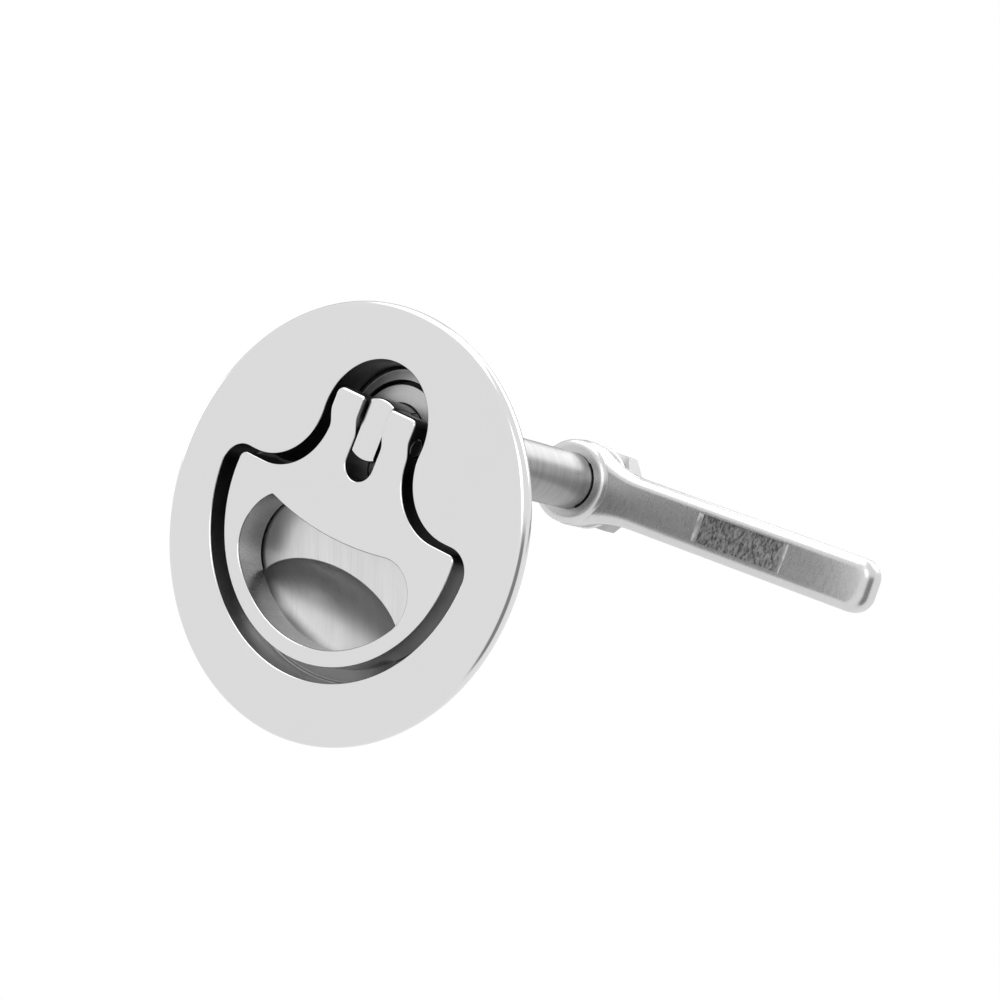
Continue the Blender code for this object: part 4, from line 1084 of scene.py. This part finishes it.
spindle_corners = [
    (0, HANDLE_FRONT_Y, 0), (SPINDLE_RADIUS, HANDLE_FRONT_Y, SPINDLE_END_ROUND),
    *groove(SEAL_GROOVE_RADIUS, SEAL_Y - SEAL_HALF_GROOVE, SEAL_Y + SEAL_HALF_GROOVE),
    *groove(RETAINER_GROOVE_RADIUS, RETAINER_Y - FIT, RETAINER_Y + RETAINER_THICKNESS + FIT),
    (SPINDLE_RADIUS, SEAT_END_Y, SEAT_END_EDGE), (STUD_RADIUS, SEAT_END_Y, FINE_EDGE),
    (STUD_RADIUS, THREAD_START_Y, 0)]
spindle_line = rounded(spindle_corners)
thread_rows = round((STUD_END_Y - STUD_CHAMFER - THREAD_START_Y) / THREAD_STEP)
for row in range(1, thread_rows + 1):
    spindle_line.append((STUD_RADIUS, THREAD_START_Y + THREAD_STEP * row))
spindle_line += [(STUD_RADIUS - STUD_CHAMFER, STUD_END_Y), (0, STUD_END_Y)]
spindle_mesh = turned(spindle_line, SPINDLE_AXIS)
for vert in spindle_mesh.verts:
    across = Vector((vert.co.x, 0, vert.co.z - SPINDLE_Z))
    if vert.co.y > THREAD_START_Y + THREAD_STEP / 2 and across.length > STUD_RADIUS - THREAD_STEP:
        phase = (vert.co.y / THREAD_PITCH + math.atan2(across.z, across.x) / (2 * math.pi)) % 1
        root = THREAD_DEPTH * (1 - abs(2 * phase - 1))
        vert.co -= across.normalized() * root * min(1, (vert.co.y - THREAD_START_Y) / THREAD_PITCH)
spindle = placed("spindle_bar", spindle_mesh, turned_steel, polished)
SPINDLE_BACK_SLOT, TONGUE_SLOT = range(2)
CUT = 0.02
for side in (-1, 1):
    across = sorted((side * TONGUE_HALF_WIDTH, side * CUT))
    machine(spindle, block((across[0], -CUT, 0), (across[1], FLOOR_Y, 2 * SPINDLE_Z)), "DIFFERENCE")
    flats = sorted((side * SEAT_HALF_FLATS, side * CUT))
    flat = block((-CUT, SHOULDER_Y, flats[0]), (CUT, ARM_WASHER_Y, flats[1]))
    tilt(flat)
    machine(spindle, flat, "DIFFERENCE")
machine(spindle, cross_pin(PIN_RADIUS + PIN_FIT, SPINDLE_RADIUS, 0), "DIFFERENCE")
for face in spindle.data.polygons:
    face.material_index = TONGUE_SLOT if face.center.y < FLOOR_Y - FINE_EDGE else SPINDLE_BACK_SLOT
shade(spindle)
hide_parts("spindle")
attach(spindle, "spindle")


# Cam arm: a cast steel bar with rounded edges. Its round hub fits the flats of the spindle's seat and is
# clamped there by the nut. A shallow pocket in its front keeps the rough skin of the casting, and its sloped
# ends carry a painted highlight.
ARM_LENGTH = 0.0660
ARM_HALF_WIDTH = 0.0050
ARM_EDGE_ROUND = 0.0021
ARM_TIP_RADIUS = 0.0036
HUB_RADIUS = 0.0084
NECK_RADIUS = 0.025
POCKET_START = 0.0290
POCKET_END = 0.0485
POCKET_DEPTH = 0.0007
POCKET_END_SLOPE = 0.0007
POCKET_FAR_SLOPE = 0.0012
POCKET_SIDE_LAND = 0.00015
HUB_BOSS_RADIUS = HUB_RADIUS - 0.0002
HUB_BOSS_ROUND = 0.0014


def arm_outline():
    """The arm about the spindle's axis, with the bar along +X before it is tilted."""
    neck_z = ARM_HALF_WIDTH + NECK_RADIUS
    neck_x = math.sqrt((HUB_RADIUS + NECK_RADIUS) ** 2 - neck_z ** 2)
    turn = math.atan2(neck_z, neck_x)
    upper = [(ARM_LENGTH, 0)]
    tip_corner = (ARM_LENGTH - ARM_TIP_RADIUS, ARM_HALF_WIDTH - ARM_TIP_RADIUS)
    upper += arc(tip_corner, ARM_TIP_RADIUS, 0, math.pi / 2)
    upper += arc((neck_x, neck_z), NECK_RADIUS, -math.pi / 2, turn - math.pi)
    upper += arc((0, 0), HUB_RADIUS, turn, math.pi)
    return without_repeats(upper + [(x, -z) for x, z in reversed(upper[1:-1])])


def pocket_form():
    """The shallow pocket in the front of the bar, with sloped ends."""
    half_width = ARM_HALF_WIDTH - ARM_EDGE_ROUND - POCKET_SIDE_LAND
    mesh = bmesh.new()
    rings = []
    for side in (-1, 1):
        y = ARM_FRONT_Y + side * POCKET_DEPTH
        start = POCKET_START + side * POCKET_END_SLOPE
        end = POCKET_END - side * POCKET_FAR_SLOPE
        corners = [(start, -half_width), (end, -half_width), (end, half_width), (start, half_width)]
        rings.append(ring_of(mesh, corners, y))
    skin(mesh, rings)
    for ring in rings:
        mesh.faces.new(ring)
    tilt(mesh)
    return mesh


def arm_finish(nodes, place):
    """Linished steel: a fine short grain across the bar, over cloudy patches."""
    grain = streaks(nodes, place, (1500, 900, 500), 4, 0.65)
    cloud = noise(nodes, place, 150, 3)
    return {"Base Color": grey_of(nodes, 0.57 + grain * 0.10 + cloud * 0.06),
            "Roughness": 0.22 + grain * 0.12,
            "Normal": bumped(nodes, grain, 0.000003)}


def pocket_finish(nodes, place):
    """The rough skin in the pocket: pitted, darker, with short marks across the bar."""
    pits = streaks(nodes, place, (2600, 1500, 1000), 4, 0.7)
    lumps = noise(nodes, place, 420, 3)
    deep = nodes.between(pits, 0.36, 0.64, 0.07, 0.40)
    return {"Base Color": grey_of(nodes, deep + lumps * 0.06),
            "Roughness": 0.36 + lumps * 0.2,
            "Normal": bumped(nodes, pits + lumps, 0.00009)}


def slope_painted_highlight(nodes, place):
    """The sloped ends of the pocket: a painted highlight in bright jagged patches."""
    marks = streaks(nodes, place, (900, 900, 300), 3)
    return {"Base Color": grey_of(nodes, nodes.between(marks, 0.40, 0.62, 0.45, 0.88)),
            "Roughness": 0.36 + marks * 0.15}


arm_steel = finished("arm_steel", arm_finish)
pocket_steel = finished("arm_pocket_steel", pocket_finish)
slope_highlight_steel = finished("arm_slope_painted_highlight", slope_painted_highlight)
arm_mesh = plate(arm_outline(), ARM_FRONT_Y, ARM_REAR_Y, ARM_EDGE_ROUND, ARM_EDGE_ROUND)
tilt(arm_mesh)
arm = placed("cam_arm_bar", arm_mesh, arm_steel, pocket_steel, slope_highlight_steel)
boss = [(0, HUB_FRONT_Y, 0), (HUB_BOSS_RADIUS, HUB_FRONT_Y, HUB_BOSS_ROUND),
        (HUB_BOSS_RADIUS, ARM_FRONT_Y + ARM_THICKNESS / 2, 0), (0, ARM_FRONT_Y + ARM_THICKNESS / 2, 0)]
machine(arm, turned(rounded(boss), SPINDLE_AXIS), "UNION")
seat_turn = math.asin((SEAT_HALF_FLATS + FIT) / (SPINDLE_RADIUS + FIT))
seat_side = arc((0, 0), SPINDLE_RADIUS + FIT, -seat_turn, seat_turn)
seat_mesh = bmesh.new()
seat_outline = seat_side + [(-x, -z) for x, z in seat_side]
seat_rings = [ring_of(seat_mesh, seat_outline, y) for y in (SHOULDER_Y - CUT, ARM_REAR_Y + CUT)]
skin(seat_mesh, seat_rings)
for seat_ring in seat_rings:
    seat_mesh.faces.new(seat_ring)
tilt(seat_mesh)
machine(arm, seat_mesh, "DIFFERENCE")
machine(arm, pocket_form(), "DIFFERENCE")
bar_way = Vector((math.cos(ARM_TILT), 0, math.sin(ARM_TILT)))
POCKET_SLOT = 1
HIGHLIGHT_SLOPE_SLOT = 2
ENDWAYS = 0.3
for face in arm.data.polygons:
    reach = (face.center - SPINDLE_AXIS).dot(bar_way)
    sunk = face.center.y - ARM_FRONT_Y
    if POCKET_START < reach < POCKET_END:
        if abs(sunk - POCKET_DEPTH) < POCKET_DEPTH / 20:
            face.material_index = POCKET_SLOT
        # The sloped ends get the painted highlight.
        elif 0 < sunk < POCKET_DEPTH and abs(face.normal.dot(bar_way)) > ENDWAYS:
            face.material_index = HIGHLIGHT_SLOPE_SLOT
shade(arm)
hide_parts("cam_arm")
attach(arm, "spindle")


# Washers, snap ring and nut: plain steel fasteners. A flat washer, a split spring washer and the nut
# clamp the arm on its seat. Behind the barrel a wave washer, a flat washer and a snap ring hold the spindle.
def fastener_finish(nodes, place):
    """Bright rolled steel, lightly scratched."""
    scratches = streaks(nodes, place, (1400, 2600, 300), 3, 0.6, (0.4, 0.7, 0))
    cloud = noise(nodes, place, 260, 3)
    return {"Base Color": grey_of(nodes, 0.60 + cloud * 0.08 + scratches * 0.06),
            "Roughness": 0.20 + scratches * 0.12 + cloud * 0.05,
            "Normal": bumped(nodes, scratches, 0.000004)}


fastener_steel = finished("fastener_steel", fastener_finish)


STUD_HOLE_RADIUS = STUD_RADIUS + FIT
ARM_WASHER_RADIUS = 0.0084
ARM_WASHER_END_Y = ARM_WASHER_Y + 0.0012
ARM_WASHER_EDGE = 0.00025
THRUST_WASHER_RADIUS = 0.0082
THRUST_WASHER_Y = 0.0218
THRUST_WASHER_END_Y = 0.0228
THRUST_WASHER_EDGE = 0.00015


def washer(name, node, inner, outer, y, end_y, edge, body):
    """A flat washer on the spindle, with its edges broken."""
    corners = [(inner, y, edge), (outer, y, edge), (outer, end_y, edge), (inner, end_y, edge)]
    piece = placed(name, turned(rounded(corners, closed=True), SPINDLE_AXIS, closed=True), fastener_steel)
    shade(piece)
    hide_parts(node)
    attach(piece, body)


washer("flat_washer", "arm_washer", STUD_HOLE_RADIUS, ARM_WASHER_RADIUS, ARM_WASHER_Y, ARM_WASHER_END_Y,
       ARM_WASHER_EDGE, "spindle")
washer("thrust_washer", "barrel_washer", SPINDLE_BORE_RADIUS, THRUST_WASHER_RADIUS, THRUST_WASHER_Y,
       THRUST_WASHER_END_Y, THRUST_WASHER_EDGE, "spindle")

WAVE_WASHER_RADIUS = 0.0080
WAVE_WASHER_THICKNESS = 0.0005
WAVE_HEIGHT = 0.0003
WAVE_Y = BARREL_END_Y + FIT + WAVE_HEIGHT
WAVE_COUNT = 3
LOCK_WASHER_RADIUS = 0.0076
LOCK_WASHER_THICKNESS = 0.0014
LOCK_WASHER_Y = ARM_WASHER_END_Y + FIT
LOCK_WASHER_RISE = 0.0003
LOCK_GAP = math.radians(14)
FULL_TURN = 2 * math.pi
SWEPT_STEPS = 144


def swept_washer(name, node, inner, outer, thickness, gap, height_at, body):
    """A washer whose section is swept round the axis at a height that changes with the angle. Where it is
    split, its gap is at the top."""
    section = rounded([(inner, 0, FINE_EDGE), (outer, 0, FINE_EDGE), (outer, thickness, FINE_EDGE),
                       (inner, thickness, FINE_EDGE)], closed=True)
    start = math.pi / 2 + gap / 2 if gap else 0
    mesh = bmesh.new()
    rings = []
    for index in range(SWEPT_STEPS + 1 if gap else SWEPT_STEPS):
        angle = start + (FULL_TURN - gap) * index / SWEPT_STEPS
        base = height_at(index / SWEPT_STEPS)
        places = [(radius * math.cos(angle), base + rise, SPINDLE_Z + radius * math.sin(angle))
                  for radius, rise in section]
        rings.append([mesh.verts.new(place) for place in places])
    skin(mesh, rings if gap else rings + rings[:1])
    if gap:
        mesh.faces.new(rings[0])
        mesh.faces.new(rings[-1])
    piece = placed(name, mesh, fastener_steel)
    shade(piece)
    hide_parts(node)
    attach(piece, body)


def wave_height(share):
    """The wave washer's rise and fall, by the share of a full turn."""
    return WAVE_Y + WAVE_HEIGHT * math.sin(WAVE_COUNT * FULL_TURN * share)


def lock_height(share):
    """The split washer's climb from one end to the other."""
    return LOCK_WASHER_Y + LOCK_WASHER_RISE * share


swept_washer("wave_spring", "wave_washer", SPINDLE_BORE_RADIUS, WAVE_WASHER_RADIUS, WAVE_WASHER_THICKNESS,
             0, wave_height, "housing")
swept_washer("split_washer", "lock_washer", STUD_HOLE_RADIUS, LOCK_WASHER_RADIUS, LOCK_WASHER_THICKNESS,
             LOCK_GAP, lock_height, "spindle")


def nut_finish(nodes, place):
    """The nut's flats: pressed, tumbled and darker than the washers."""
    haze = noise(nodes, place, 700, 3)
    return {"Base Color": grey_of(nodes, 0.36 + haze * 0.12), "Roughness": 0.26 + haze * 0.1}


nut_steel = finished("nut_steel", nut_finish)
NUT_Y = 0.0706
NUT_END_Y = NUT_Y + 0.0050
NUT_HALF_FLATS = 0.0076
NUT_CORNER_RADIUS = NUT_HALF_FLATS / math.cos(math.pi / 6)
NUT_TURN = math.radians(5)
NUT_CHAMFER_TURN = math.radians(30)
NUT_BORE_CHAMFER = 0.0004
NUT_FACE_RADIUS = NUT_HALF_FLATS * 0.985
NUT_FACE_EDGE = 0.0002
nut_corners = []
for corner in range(6):
    angle = NUT_TURN + math.pi / 3 * corner
    nut_corners.append((NUT_CORNER_RADIUS * math.cos(angle), SPINDLE_Z + NUT_CORNER_RADIUS * math.sin(angle)))
nut_mesh = bmesh.new()
nut_rings = [ring_of(nut_mesh, nut_corners, y) for y in (NUT_Y, NUT_END_Y)]
skin(nut_mesh, nut_rings)
for nut_ring in nut_rings:
    nut_mesh.faces.new(nut_ring)
nut = placed("hexagon_nut", nut_mesh, nut_steel)
nut_rise = (NUT_CORNER_RADIUS - NUT_HALF_FLATS) * math.tan(NUT_CHAMFER_TURN)
nut_bore_edge = STUD_HOLE_RADIUS + NUT_BORE_CHAMFER
nut_form = [(STUD_HOLE_RADIUS, NUT_Y + NUT_BORE_CHAMFER, 0), (nut_bore_edge, NUT_Y - SAME_PLACE, 0),
            (NUT_FACE_RADIUS, NUT_Y - SAME_PLACE, NUT_FACE_EDGE),
            (NUT_CORNER_RADIUS + nut_rise, NUT_Y + nut_rise * 2, 0),
            (NUT_CORNER_RADIUS + nut_rise, NUT_END_Y - nut_rise * 2, 0),
            (NUT_FACE_RADIUS, NUT_END_Y + SAME_PLACE, NUT_FACE_EDGE),
            (nut_bore_edge, NUT_END_Y + SAME_PLACE, 0), (STUD_HOLE_RADIUS, NUT_END_Y - NUT_BORE_CHAMFER, 0)]
machine(nut, turned(rounded(nut_form, closed=True), SPINDLE_AXIS, closed=True), "INTERSECT")
shade(nut)
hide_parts("hex_nut")
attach(nut, "spindle")

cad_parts["retaining_ring"].data.materials.clear()
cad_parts["retaining_ring"].data.materials.append(fastener_steel)


# O-ring: moulded black rubber, stretched into its groove on the spindle. It seals the spindle in the
# barrel, which hides it.
def rubber_skin(nodes, place):
    """Moulded rubber, matt and a little dusty."""
    dust = noise(nodes, place, 900, 3)
    return {"Base Color": grey_of(nodes, 0.018 + dust * 0.012), "Roughness": 0.55 + dust * 0.15}


seal_rubber = finished("seal_rubber", rubber_skin, metallic=0.0)
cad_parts["spindle_seal"].data.materials.clear()
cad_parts["spindle_seal"].data.materials.append(seal_rubber)
